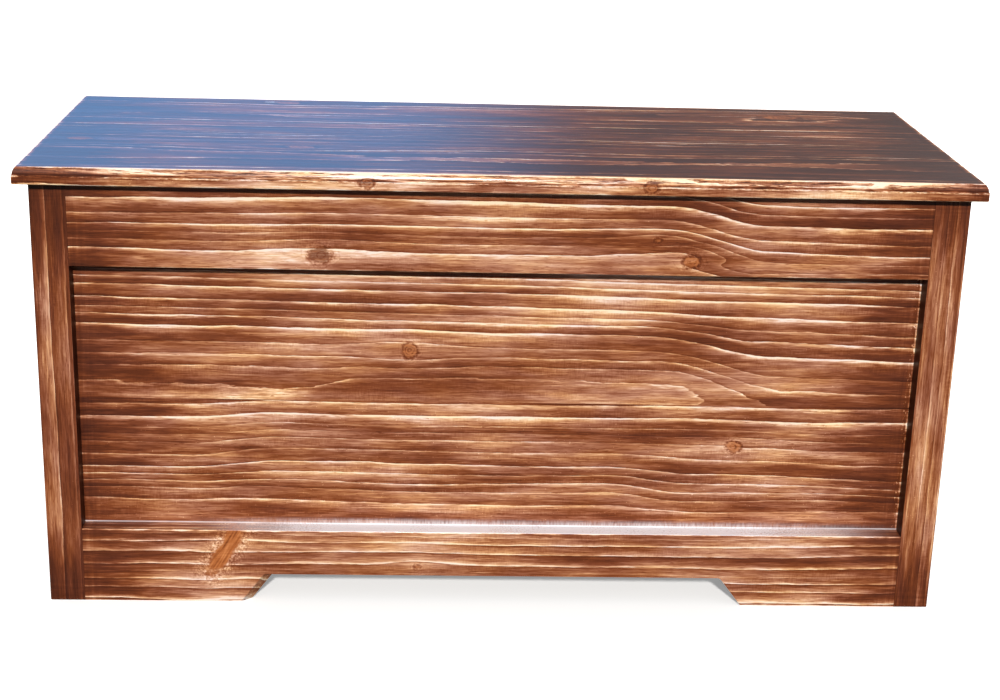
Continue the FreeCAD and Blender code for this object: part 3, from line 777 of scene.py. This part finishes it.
# %% Group: painted shade in the recess
SHADE_PATCH_SEED = 8.0
CORNER_EDGE = 0.6
CORNER_FULL = 0.2
post_inner_x = -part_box("post_front_left")[1].x * MILLIMETRES
post_inner_y = -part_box("post_front_left")[1].y * MILLIMETRES
recess_shade, tree, given, made = new_group("Recess Painted Shade", {"Object": "Vector"}, numbers("Corner"))
place = tree.times(tree.vector("ABSOLUTE", given["Object"]), MILLIMETRES)
across, deep, _ = tree.axes(place)
beside_front = tree.ramp(across, post_inner_x + CORNER_EDGE, post_inner_x + CORNER_FULL)
beside_end = tree.ramp(deep, post_inner_y + CORNER_EDGE, post_inner_y + CORNER_FULL)
patchy_shade = tree.ramp(tree.noise(place, (20, 20, 60), SHADE_PATCH_SEED, detail=2), -0.4, 0.0)
tree.feed(made["Corner"], tree.product(tree.math("MAXIMUM", beside_front, beside_end), patchy_shade))
print("group", recess_shade.name)

# %% [markdown]
# ## Chips and a painted highlight at the end of the panel
# At its right end, where it meets the post, the front panel is painted with a thin pale broken line
# at the corner, which is a painted highlight along its edge, and with a few pale specks beside it
# where the finish chipped.

# %% Group: chipped end and painted highlight
CHIPPED_WIDTH = 9.0
chipped_end_and_highlight, tree, given, made = new_group(
    "Chipped End And Highlight", {"Board": "Vector", **numbers("Corner", "Seed")}, numbers("Chips And Highlight")
)
board = given["Board"]
seed = given["Seed"]
inward = tree.math("SUBTRACT", given["Corner"], tree.axes(board)[0])
breaks = tree.ramp(tree.noise(board, (40, 9, 9), seed, detail=2), -0.2, 0.1)
specks = tree.ramp(tree.noise(board, (2.2, 3, 3), seed, detail=2), 0.12, 0.2)
# a painted highlight along the panel's edge at the corner, and chipped specks beside it
edge_highlight = tree.product(tree.ramp(inward, 2.2, 1.2), breaks)
scattered = tree.product(tree.ramp(inward, CHIPPED_WIDTH, 4.0), specks)
tree.feed(made["Chips And Highlight"], tree.math("MAXIMUM", edge_highlight, scattered))
print("group", chipped_end_and_highlight.name)

# %% [markdown]
# ## From the groups to a material
# Each material has one Principled shader. Colour, roughness and gloss change over the surface, so
# they come from the groups, and the height of the grain becomes fine bumps. What is the same all over
# is set once on the shader.

# %% Materials and their surfaces
GRAIN_RELIEF = 0.00012


def new_material(name):
    """An empty material with a Principled shader, and the short hand for its tree."""
    material = bpy.data.materials.new(name)
    material.use_nodes = True
    material.node_tree.nodes.clear()
    tree = Tree(material.node_tree)
    shader = tree.add("ShaderNodeBsdfPrincipled")
    tree.add("ShaderNodeOutputMaterial", {"Surface": shader.outputs[0]})
    return material, tree, shader


def dress(node, material):
    """Give a CAD node one material."""
    slots = nodes[node].data.materials
    slots.clear()
    slots.append(material)


def join_surface(tree, shader, colour, roughness, height, strength, relief=GRAIN_RELIEF):
    """Join colour and roughness to a shader, and a height as bumps of a relief in metres."""
    tree.feed(shader.inputs["Base Color"], colour)
    tree.feed(shader.inputs["Roughness"], roughness)
    bump = tree.add("ShaderNodeBump", {"Height": height, "Strength": strength, "Distance": relief})
    tree.feed(shader.inputs["Normal"], bump.outputs[0])


print("relief of the grain", GRAIN_RELIEF * MILLIMETRES, "mm")

# %% [markdown]
# A stained board is told its rings and knots, where its edges lie, and how deep its finish is. The
# lid adds the wear, painted highlights and painted shade of its moulding, and the front panel the
# chips and painted highlight at its end.

# %% What a stained board is told
MOULDING_DARKENING = 0.38
CHIP_AND_HIGHLIGHT_PALENESS = 1.6
FINISH_VALUES = {
    "Depth": ("depth", 0.0),
    "Paler Margin And Sheen": ("paler_margin_and_sheen", 0.0),
    "Lines": ("lines", 1.0),
    "Contrast": ("contrast", 1.4),
}


def stain_inputs(tree, node, grain, inward, wood):
    """All that the pine groups are told about a stained board."""
    place, _ = board_space(tree, [node], grain, inward)
    whole, half = board_space(tree, wood.get("edges_of", [node]), grain, inward)
    sides = {"Board": whole, "Half Size": half, "Wear And Highlight": wood.get("wear_and_highlight", 1.0), "Seed": wood["seed"]}
    edges = fill_group(tree, board_edges, sides)
    values = {"Board": place, "Seed": wood["seed"], **board_figure(tree, place, wood)}
    values.update({name: edges[name] for name in EDGE_MASKS})
    values.update({name: wood.get(key, usual) for name, (key, usual) in FINISH_VALUES.items()})
    if wood.get("moulded"):
        moulding = fill_group(tree, moulding_wear_and_highlights, sides)
        values["Arris Rub And Highlight"] = tree.math("MAXIMUM", values["Arris Rub And Highlight"], moulding["Bright"])
        values["Depth"] = tree.total(tree.product(moulding["Dark"], MOULDING_DARKENING), values["Depth"])
    if wood.get("chipped_and_highlit"):
        chips_and_highlight = fill_group(tree, chipped_end_and_highlight, {**values, "Corner": post_inner_x})["Chips And Highlight"]
        values["Arris Rub And Highlight"] = tree.total(values["Arris Rub And Highlight"], tree.product(chips_and_highlight, CHIP_AND_HIGHLIGHT_PALENESS))
    return values


print("a finish has", len(FINISH_VALUES), "values")

# %% [markdown]
# ## Varnish
# The varnish is the coat of the Principled shader: a clear film with a sharp gloss over wood that
# hardly shines by itself. It sinks into the pores, so it is weaker in the low places of the grain.
# The bare faces have hardly any, and the painted shade on the posts and the dust and painted sheen on
# the ledges none.

# %% Varnished boards
COAT_ROUGHNESS = 0.12
VARNISH_IOR = 1.42
UNDER_VARNISH_SHINE = 0.1
VARNISH_GLOSS = 0.6
BARE_GLOSS = 0.1
SUNK_FILM = 0.7
FULL_FILM = 1.1
STAINED_BUMP = 0.35
CORNER_PAINTED_SHADE = 0.9
DUST_AND_SHEEN_COLOUR = (0.84, 0.81, 0.84, 1)


def varnished_board(node, grain, inward, wood):
    """Stained and varnished pine, bare on the faces that look into the chest."""
    material, tree, shader = new_material(f"stained_{node}")
    values = stain_inputs(tree, node, grain, inward, wood)
    where = tree.add("ShaderNodeTexCoord").outputs["Object"]
    unvarnished = []
    # on the posts, painted shade darkens the faces in the panel's recess and takes their gloss away
    if node.startswith("post"):
        corner = fill_group(tree, recess_shade, {"Object": where})["Corner"]
        values["Depth"] = tree.total(tree.product(corner, CORNER_PAINTED_SHADE), values["Depth"])
        unvarnished.append(corner)
    stained = fill_group(tree, stained_pine, values)
    bare = fill_group(tree, bare_pine, values)
    colour = stained["Color"]
    # dust and painted sheen on the ledge and the panel's foot, without varnish
    if node.endswith(("bottom_rail", "panel_lower")):
        dust_and_sheen = fill_group(tree, ledge_dust_and_sheen, {"Object": where})["Dust And Sheen"]
        colour = tree.blend(dust_and_sheen, colour, DUST_AND_SHEEN_COLOUR)
        unvarnished.append(dust_and_sheen)
    set_back = panel_set_back if "panel" in node or "post" in node else 0.0
    inside = fill_group(tree, inside_chest, {"Object": where, "Set Back": set_back})["Inside"]
    colour = tree.blend(inside, colour, bare["Color"])
    join_surface(tree, shader, colour, stained["Roughness"], stained["Height"], STAINED_BUMP)
    gloss = tree.ramp(inside, 0.0, 1.0, VARNISH_GLOSS, BARE_GLOSS, smooth=False)
    film = tree.ramp(stained["Height"], -0.2, 0.3, SUNK_FILM, FULL_FILM)
    gloss = tree.product(gloss, film, *(tree.flip(mask) for mask in unvarnished))
    tree.feed(shader.inputs["Coat Weight"], gloss)
    shader.inputs["Coat Roughness"].default_value = COAT_ROUGHNESS
    shader.inputs["Coat IOR"].default_value = VARNISH_IOR
    shader.inputs["Specular IOR Level"].default_value = UNDER_VARNISH_SHINE
    dress(node, material)


print("gloss of the varnish", VARNISH_GLOSS)

# %% Bare boards
BARE_BUMP = 0.4


def bare_board(node, grain, inward, wood):
    """Planed pine without a finish."""
    material, tree, shader = new_material(f"bare_{node}")
    place, half = board_space(tree, [node], grain, inward)
    values = {"Board": place, "Half Size": half, "Seed": wood["seed"]}
    values["End Grain"] = fill_group(tree, board_edges, values)["End Grain"]
    values.update(board_figure(tree, place, wood))
    bare = fill_group(tree, bare_pine, values)
    join_surface(tree, shader, bare["Color"], bare["Roughness"], bare["Height"], BARE_BUMP)
    dress(node, material)


print("wood materials ready")

# %% [markdown]
# ## Choosing the boards
# A maker picks the boards for the front with care. The list gives, for each board that shows there,
# where its pith lies behind the face and to which side, how wide its rings are, and its knots: along
# the board, across it, radius, how many times longer than wide, and how far the rings bend there. A
# hidden branch is one that ended behind the face: only the rings that shift beyond it show it.

# %% The boards of the front
WALL_GRAIN = {"front": ("+x", "+y"), "back": ("-x", "-y"), "left": ("-y", "+x"), "right": ("+y", "-x")}
HIDDEN_BRANCH = {"size": 0.4, "flecks": 0.0}
SPIKE_KNOT = {"size": 11, "long": 4.2, "turn": 1.02, "flecks": 0.9, "bend": -2, "shade": -0.09}
PANEL_FINISH = {"wear_and_highlight": 0.0, "chipped_and_highlit": True}
front_boards = {
    "front_top_rail": {
        "seed": 129.26,
        "pith": (55, -120),
        "ring": 11,
        "wander": 12,
        "knots": [
            {"x": 161, "z": -6, "size": 4, "bend": 4},
            {"x": 198, "z": -29, "size": 8, "long": 1.5, "bend": 6, "shift": 17},
            {"x": -190, "z": -28, "size": 9, "long": 1.6, "bend": 5, "shade": -0.35},
        ],
    },
    "front_bottom_rail": {
        "seed": 129.3,
        "pith": (60, 115),
        "ring": 9,
        "wander": 10,
        "depth": -0.09,
        "wear_and_highlight": 1.8,
        "knots": [
            {**SPIKE_KNOT, "x": -292, "z": 23},
            {"x": -85, "z": 1, "size": 4, "long": 1.4, "bend": -4, "shade": -0.2},
        ],
    },
    "front_panel_upper": {
        **PANEL_FINISH,
        "seed": 136.66,
        "pith": (59.5, -72),
        "ring": 8.5,
        "wander": 8,
        "lean": 0.012,
        "lines": 1.15,
        "depth": -0.02,
        "knots": [
            {"x": -96, "z": -21, "size": 9, "long": 1.0, "bend": 4, "shade": -0.12},
            {**HIDDEN_BRANCH, "x": -200, "z": -56, "shift": -5, "spread": 55, "turn": -0.5},
            {**HIDDEN_BRANCH, "x": 205, "z": -35, "shift": 16, "spread": 48, "turn": 0.6},
        ],
    },
    "front_panel_lower": {
        **PANEL_FINISH,
        "seed": 129.42,
        "pith": (60, -115),
        "ring": 10,
        "wander": 18,
        "knots": [
            {"x": 259, "z": 28, "size": 7, "long": 1.3, "bend": 2},
            {**HIDDEN_BRANCH, "x": -310, "z": 30, "shift": -8, "spread": 60},
            {**HIDDEN_BRANCH, "x": 140, "z": -20, "shift": 8, "spread": 50},
        ],
    },
}
for node, wood in front_boards.items():
    varnished_board(node, *WALL_GRAIN["front"], wood)
print(len(front_boards), "boards of the front dressed")

# %% [markdown]
# The four boards of the lid are glued up as one, so their edges are those of the whole lid, and they
# share one finish: a deep coat of stain with a paler margin along the moulding, rubbed paler in part
# and painted with sheen in part.

# %% The boards of the lid
lid_woods = {
    "lid_board_front": {
        "seed": 21.0,
        "pith": (60, 30),
        "knots": [
            {"x": -142, "z": -51, "size": 6, "deep": 1.0, "bend": 4},
            {"x": 150, "z": -51, "size": 6, "deep": 1.0, "bend": 4},
        ],
    },
    "lid_board_inner_front": {
        "seed": 23.0,
        "pith": (75, -70),
        "knots": [
            {"x": -217, "z": -27, "size": 8, "long": 2.5, "bend": 5},
            {"x": -457, "z": -2, "size": 8, "long": 2.0, "bend": 4},
        ],
    },
    "lid_board_inner_back": {"seed": 25.0, "pith": (70, 60)},
    "lid_board_back": {
        "seed": 27.0,
        "pith": (65, -20),
        "knots": [
            {"x": 344, "z": -8, "size": 14, "long": 1.8, "bend": 10},
            {"x": -247, "z": 25, "size": 9, "long": 2.0, "bend": 6},
        ],
    },
}
LID_FINISH = {
    "depth": 0.26,
    "contrast": 1.75,
    "paler_margin_and_sheen": 0.46,
    "moulded": True,
    "ring": 7,
    "edges_of": list(lid_woods),
}
for node, wood in lid_woods.items():
    varnished_board(node, "+x", "-z", {**LID_FINISH, **wood})
print(len(lid_woods), "boards of the lid dressed")

# %% [markdown]
# The other boards come from the rest of the pile, so their pith, rings and knots are drawn from a
# random generator with a fixed seed, which gives the same pile every time.

# %% A pile of boards
pile = np.random.default_rng(41)


def from_the_pile(node, knots):
    """A board the size of a node, with a random pith and knots that fit on it."""
    low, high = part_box(node)
    _, half_width, half_length = sorted((high - low) / 2 * MILLIMETRES)
    places = [
        {
            "x": pile.uniform(-0.85, 0.85) * half_length,
            "z": pile.uniform(-0.7, 0.7) * half_width,
            "size": pile.uniform(4, 9),
            "long": pile.uniform(1.1, 1.8),
            "bend": pile.uniform(1, 4),
        }
        for _ in range(knots)
    ]
    return {
        "seed": round(pile.uniform(30, 90), 2),
        "pith": (pile.uniform(55, 70), pile.choice((-1, 1)) * pile.uniform(1.2, 1.7) * half_width),
        "ring": pile.uniform(7, 9),
        "wander": pile.uniform(12, 18),
        "knots": places,
    }


print("the pile is ready")

# %% The sides and the back
for side in ("back", "left", "right"):
    for part in ("top_rail", "bottom_rail", "panel_upper", "panel_lower"):
        node = f"{side}_{part}"
        wear_and_highlight = 0.0 if part.startswith("panel") else 1.0
        varnished_board(node, *WALL_GRAIN[side], {**from_the_pile(node, 2), "wear_and_highlight": wear_and_highlight})
print(len(bpy.data.materials), "materials so far")

# %% [markdown]
# The pith of a post lies well to one side of it, so its rings run straight up as faint lines.

# %% The posts
POST_FINISH = {"wander": 6, "ring": 10, "lines": 0.25, "contrast": 1.35, "wear_and_highlight": 0.3}
POST_DEPTHS = {"post_front_left": 0.09, "post_front_right": -0.09}
PITH_BEHIND_POST = 20
PITH_BESIDE_POST = 90
for corner in ("front_left", "front_right", "back_right", "back_left"):
    node = f"post_{corner}"
    into = "+y" if corner.startswith("front") else "-y"
    beside = PITH_BESIDE_POST if corner.endswith("left") else -PITH_BESIDE_POST
    chosen = {"pith": (PITH_BEHIND_POST, beside), "depth": POST_DEPTHS.get(node, 0.0)}
    varnished_board(node, "+z", into, {**from_the_pile(node, 0), **POST_FINISH, **chosen})
print(len(bpy.data.materials), "materials so far")

# %% The floor, the cleats and the battens
inner_boards = [(f"floor_board_{part}", "+x", "-z", 3) for part in ("front", "middle", "back")]
inner_boards += [(f"floor_cleat_{side}", "+x", "-z", 0) for side in ("front", "back")]
inner_boards += [(f"floor_cleat_{side}", "+y", "-z", 0) for side in ("left", "right")]
inner_boards += [(f"lid_batten_{side}", "+y", "+z", 1) for side in ("left", "right")]
for node, grain, into, knots in inner_boards:
    bare_board(node, grain, into, from_the_pile(node, knots))
print(len(bpy.data.materials), "materials so far")

# %% [markdown]
# ## Brass hinges
# Butt hinges like these are pressed from brass strip. Handling keeps the high places bright, and the
# rest dulls to a browner tone. The strip has fine rolling lines along it, which show in the roughness
# and in the way it catches the light.

# %% Brass
HINGE_COLOURS = ((0.80, 0.58, 0.24, 1), (0.42, 0.27, 0.10, 1))
SCREW_COLOURS = ((0.88, 0.72, 0.40, 1), (0.52, 0.38, 0.18, 1))
PATCH_SEED = 2.0
LINES_SEED = 4.0
BRASS_ROUGHNESS = 0.27
BRASS_SPREAD = 0.2
BRASS_BUMP = 0.25
ROLLING_RELIEF = 0.00005


def brass_material(name, bright, dulled):
    """Satin brass with dull patches and fine lines along X."""
    material, tree, shader = new_material(name)
    place = tree.times(tree.add("ShaderNodeTexCoord").outputs["Object"], MILLIMETRES)
    patch = tree.noise(place, (9, 7, 7), PATCH_SEED, detail=3, roughness=0.6)
    lines = tree.noise(place, (30, 0.5, 0.5), LINES_SEED, detail=2)
    dull = tree.ramp(patch, -0.1, 0.22)
    colour = tree.blend(dull, bright, dulled)
    roughness = tree.total(BRASS_ROUGHNESS, tree.product(tree.total(dull, lines), BRASS_SPREAD))
    join_surface(tree, shader, colour, roughness, lines, BRASS_BUMP, ROLLING_RELIEF)
    shader.inputs["Metallic"].default_value = 1.0
    return material


hinge_brass = brass_material("hinge_brass", *HINGE_COLOURS)
screw_brass = brass_material("screw_brass", *SCREW_COLOURS)
for side in ("left", "right"):
    for part in ("hinge_leaf_chest", "hinge_leaf_lid", "hinge_pin"):
        dress(f"{part}_{side}", hinge_brass)
print("hinges dressed")

# %% [markdown]
# ## Screws
# The CAD screws are plain pins. A real one has a cross recess in its head and a thread. Both fit one
# surface: a profile that starts in the middle of the head, goes out to the rim, down the cone and
# along the shank to the point, carried once round the axis. The recess lowers the top of the head
# where the point lies in a cross, and the thread lets the radius of the shank rise and fall along a
# helix.

# %% The screw surface
AROUND = 48
TOP_ROWS = 12
SHANK_ROWS = 56
AXIS_GAP = 0.02
ARM_WIDTH = 0.17
ARM_LENGTH = 0.6
RECESS_DEPTH = 0.5
ARM_WALL = 0.5
ARM_RISE = 0.6
RIM_DROP = 0.15
THREAD_PITCH = 1.4
THREAD_DEPTH = 0.22
THREAD_START = 1.6
POINT_SHARE = 0.1


def cross_recess(x, y, head_radius):
    """How deep the cross is at a place of the head: the deeper of two arms with sloping walls."""
    width = ARM_WIDTH * head_radius
    length = ARM_LENGTH * head_radius

    def arm(along, across):
        """How deep one arm is, from 0 to 1."""
        inside = np.clip((width - np.abs(across)) / (ARM_WALL * width), 0, 1)
        return inside * np.clip((length - np.abs(along)) / (ARM_RISE * length), 0, 1)

    return RECESS_DEPTH * head_radius * np.maximum(arm(x, y), arm(y, x))


def screw_surface(head_radius, shank_radius, length, dome):
    """Points of a screw with its head up at the origin, in mm, as a grid of rows times angles.

    The top is a disc of radius r, raised by the dome times 1 - (r / R)^2 and lowered in the cross.
    Below it the radius goes from the head's to the shank's down a 45 degree cone, then follows the
    shank, less a triangle wave of the thread, and closes to a point over the last tenth.
    """
    angle = np.linspace(0, 2 * np.pi, AROUND, endpoint=False)
    r = np.linspace(AXIS_GAP, 1, TOP_ROWS)[:, None] * head_radius
    x = r * np.cos(angle)
    y = r * np.sin(angle)
    top_height = dome * (1 - (r / head_radius) ** 2) - cross_recess(x, y, head_radius)
    top = np.stack([x, y, top_height], axis=-1)

    cone_depth = head_radius - shank_radius
    depth = np.linspace(RIM_DROP, length, SHANK_ROWS)[:, None]
    body = np.where(depth < cone_depth, head_radius - depth, shank_radius)
    turn = depth / THREAD_PITCH - angle / (2 * np.pi)
    wave = np.abs(2 * (turn - np.floor(turn)) - 1)
    thread = THREAD_DEPTH * wave * (depth > THREAD_START * cone_depth)
    point = np.clip((length - depth) / (POINT_SHARE * length), AXIS_GAP, 1)
    radius = (body - thread) * point
    side = np.stack([radius * np.cos(angle), radius * np.sin(angle), -depth + 0 * angle], axis=-1)
    return np.concatenate([top, side])


print("a screw has", (TOP_ROWS + SHANK_ROWS) * AROUND, "points")

# %% Faces of a screw, and a piece of several screws
def lathe_faces(rows):
    """Quads between neighbouring rows of a closed grid, and a cap at each end, wound outwards."""
    row = np.arange(rows - 1)[:, None] * AROUND
    here = np.arange(AROUND)
    there = (here + 1) % AROUND
    quads = np.stack([row + here, row + AROUND + here, row + AROUND + there, row + there], axis=-1)
    first = list(range(AROUND))
    last = [(rows - 1) * AROUND + step for step in reversed(range(AROUND))]
    return quads.reshape(-1, 4).tolist() + [first, last]


def screw_piece(name, places, up, head_radius, shank_radius, length, dome):
    """One mesh of several equal screws at places in metres, heads along +Z or -Z."""
    one = screw_surface(head_radius, shank_radius, length, dome) / MILLIMETRES
    rows = one.shape[0]
    if up < 0:
        one = one * (1, -1, -1)
    points = [one.reshape(-1, 3) + np.array(place) for place in places]
    faces = lathe_faces(rows)
    starts = [step * rows * AROUND for step in range(len(places))]
    all_faces = [[index + start for index in face] for start in starts for face in faces]
    mesh = bpy.data.meshes.new(name)
    mesh.from_pydata(np.concatenate(points).tolist(), [], all_faces)
    mesh.update()
    mesh.materials.append(screw_brass)
    piece = bpy.data.objects.new(name, mesh)
    scene.collection.objects.link(piece)
    print(name, len(places), "screws,", len(mesh.polygons), "faces")
    return piece


print("screws can be made")

# %% [markdown]
# The hinge screws stand where the CAD screws are, which they replace: two in each leaf, as far from
# its middle as the box of the CAD screws says. Four wood screws hold each batten to the lid. Their
# heads are slightly domed and stand on the batten's lower face.

# %% Screws of the hinges and the battens
HINGE_SHANK = 1.7
for body, up in (("chest", 1), ("lid", -1)):
    low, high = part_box(f"hinge_screws_{body}")
    head = (high.y - low.y) / 2
    seat = high.z if up > 0 else low.z
    places = []
    for side in ("left", "right"):
        leaf_low, leaf_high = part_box(f"hinge_leaf_{body}_{side}")
        middle = (leaf_low.x + leaf_high.x) / 2
        reach = high.x - head - abs(middle)
        places += [(middle + step * reach, (low.y + high.y) / 2, seat) for step in (-1, 1)]
    measures = {"head_radius": head * MILLIMETRES, "length": (high.z - low.z) * MILLIMETRES}
    name = f"hinge_screws_{body}_threaded"
    piece = screw_piece(name, places, up, shank_radius=HINGE_SHANK, dome=0.0, **measures)
    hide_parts(f"hinge_screws_{body}")
    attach(piece, body)

BATTEN_SCREWS = 4
BATTEN_SCREW_MARGIN = 0.03
BATTEN_SCREW = {"head_radius": 3.9, "shank_radius": 2.0, "length": 30, "dome": 0.5}
places = []
for side in ("left", "right"):
    low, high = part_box(f"lid_batten_{side}")
    along = np.linspace(low.y + BATTEN_SCREW_MARGIN, high.y - BATTEN_SCREW_MARGIN, BATTEN_SCREWS)
    places += [((low.x + high.x) / 2, y, low.z) for y in along]
batten_screws = screw_piece("batten_screws", places, -1, **BATTEN_SCREW)
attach(batten_screws, "lid")

# %% [markdown]
# ## Floor, light and camera
# The chest stands on a plain pale floor. The floor looks pale to the camera and takes the shadow, but
# it throws little light back, so the underside of the lid and the recesses stay dark. In the varnish
# a tenth of its paleness shows.

# %% Floor
FLOOR_HALF = 14.0
FLOOR_CELLS = 8
FLOOR_DROP = 0.0002
FLOOR_PALE = (0.90, 0.90, 0.90, 1)
FLOOR_PALER = (0.94, 0.94, 0.94, 1)
FLOOR_UNSEEN = (0.05, 0.05, 0.05, 1)
FLOOR_IN_VARNISH = 0.1
FLOOR_GLOW = 0.30
FLOOR_ROUGHNESS = 0.9
FLOOR_SHINE = 0.1
MOTTLES_PER_METRE = 1.5
MOTTLE_DETAIL = 3.0
edge = np.linspace(-FLOOR_HALF, FLOOR_HALF, FLOOR_CELLS + 1)
grid_x, grid_y = np.meshgrid(edge, edge)
points = np.stack([grid_x, grid_y, np.full_like(grid_x, -FLOOR_DROP)], axis=-1)
row = FLOOR_CELLS + 1
first = (np.arange(FLOOR_CELLS)[:, None] * row + np.arange(FLOOR_CELLS)).ravel()
quads = np.stack([first, first + 1, first + row + 1, first + row], axis=-1)
floor_mesh = bpy.data.meshes.new("studio_floor")
floor_mesh.from_pydata(points.reshape(-1, 3).tolist(), [], quads.tolist())
floor = bpy.data.objects.new("studio_floor", floor_mesh)
scene.collection.objects.link(floor)
floor_paint, tree, shader = new_material("floor_paint")
where = tree.add("ShaderNodeTexCoord").outputs["Object"]
inputs = {"Vector": where, "Scale": MOTTLES_PER_METRE, "Detail": MOTTLE_DETAIL}
mottle = tree.add("ShaderNodeTexNoise", inputs).outputs[0]
ray = tree.add("ShaderNodeLightPath").outputs
in_varnish = tree.product(ray["Is Glossy Ray"], FLOOR_IN_VARNISH)
seen = tree.math("MAXIMUM", ray["Is Camera Ray"], in_varnish)
pale = tree.blend(mottle, FLOOR_PALE, FLOOR_PALER)
tree.feed(shader.inputs["Base Color"], tree.blend(seen, FLOOR_UNSEEN, pale))
tree.feed(shader.inputs["Emission Strength"], tree.product(ray["Is Camera Ray"], FLOOR_GLOW))
shader.inputs["Emission Color"].default_value = (1, 1, 1, 1)
shader.inputs["Roughness"].default_value = FLOOR_ROUGHNESS
shader.inputs["Specular IOR Level"].default_value = FLOOR_SHINE
floor_mesh.materials.append(floor_paint)
print("floor", 2 * FLOOR_HALF, "m square")

# %% [markdown]
# One lamp far in front gives the crisp narrow shadows under the lid and the top rail, two broad lamps
# behind the chest light its back and its ends, and a soft sky fills in the rest.

# %% Lamps
SUN_STRENGTH = 3.6
SUN_COLOUR = (1.0, 0.97, 0.93)
SUN_AIM = (0.0, 0.877, -0.48)
SUN_WIDTH = 0.06
REAR_WATTS = 90
REAR_WIDTH = 2.0
REAR_PLACE = (2.6, 2.4, 2.6)
CHEST_MIDDLE = Vector((0, 0, 0.25))


def lamp(name, kind, energy, colour, aim, place=(0, 0, 0)):
    """A lamp that shines along the aim."""
    data = bpy.data.lights.new(name, kind)
    data.energy = energy
    data.color = colour
    item = bpy.data.objects.new(name, data)
    item.location = place
    item.rotation_euler = Vector(aim).to_track_quat("-Z", "Y").to_euler()
    scene.collection.objects.link(item)
    return data


lamp("front_light", "SUN", SUN_STRENGTH, SUN_COLOUR, SUN_AIM).angle = SUN_WIDTH
for name, side in (("left_rear_light", -1), ("right_rear_light", 1)):
    place = Vector((side * REAR_PLACE[0], *REAR_PLACE[1:]))
    lamp(name, "AREA", REAR_WATTS, (1, 1, 1), CHEST_MIDDLE - place, place).size = REAR_WIDTH

# %% [markdown]
# The gloss of the lid mirrors what stands behind the chest. There the sky is blue and bright behind
# the left end and dim behind the right one, for mirrored rays alone, so it colours nothing but the
# gloss. The camera sees a plain white backdrop.

# %% Sky
SKY_LOW = (0.06, 0.06, 0.07, 1)
SKY_HIGH = (0.50, 0.51, 0.53, 1)
MIRRORED_RIGHT = (0.15, 0.19, 0.20, 1)
MIRRORED_LEFT = (0.25, 0.83, 1.70, 1)
BACKDROP = (0.92, 0.92, 0.93, 1)
world = bpy.data.worlds.new("studio_sky")
world.use_nodes = True
scene.world = world
world.node_tree.nodes.clear()
tree = Tree(world.node_tree)
toward_x, toward_y, toward_z = tree.axes(tree.add("ShaderNodeTexCoord").outputs["Generated"])
ray = tree.add("ShaderNodeLightPath").outputs
sky = tree.blend(tree.ramp(toward_z, 0.3, 0.75), SKY_LOW, SKY_HIGH)
mirrored = tree.blend(tree.ramp(toward_x, 0.10, -0.03), MIRRORED_RIGHT, MIRRORED_LEFT)
behind = tree.product(tree.ramp(toward_y, 0.2, 0.9), ray["Is Glossy Ray"])
sky = tree.blend(behind, sky, mirrored)
sky = tree.blend(ray["Is Camera Ray"], sky, BACKDROP)
background = tree.add("ShaderNodeBackground", {"Color": sky, "Strength": 1.0})
tree.add("ShaderNodeOutputWorld", {"Surface": background.outputs[0]})
print("sky", world.name)

# %% [markdown]
# The camera's place, turn and lens were fitted to the corners of the lid, the posts, the rails and the
# panel in the photograph.

# %% Camera
CAMERA_LENS = 64.96
CAMERA_PLACE = (-0.0810, -1.9963, 0.8986)
CAMERA_TURN = (71.632, -1.550, -2.030)
camera_data = bpy.data.cameras.new("photo_camera")
camera_data.lens = CAMERA_LENS
camera = bpy.data.objects.new("photo_camera", camera_data)
camera.location = CAMERA_PLACE
camera.rotation_euler = np.radians(CAMERA_TURN)
scene.collection.objects.link(camera)
scene.camera = camera
scene.view_settings.view_transform = "Standard"
print("camera", [round(value, 3) for value in camera.location])
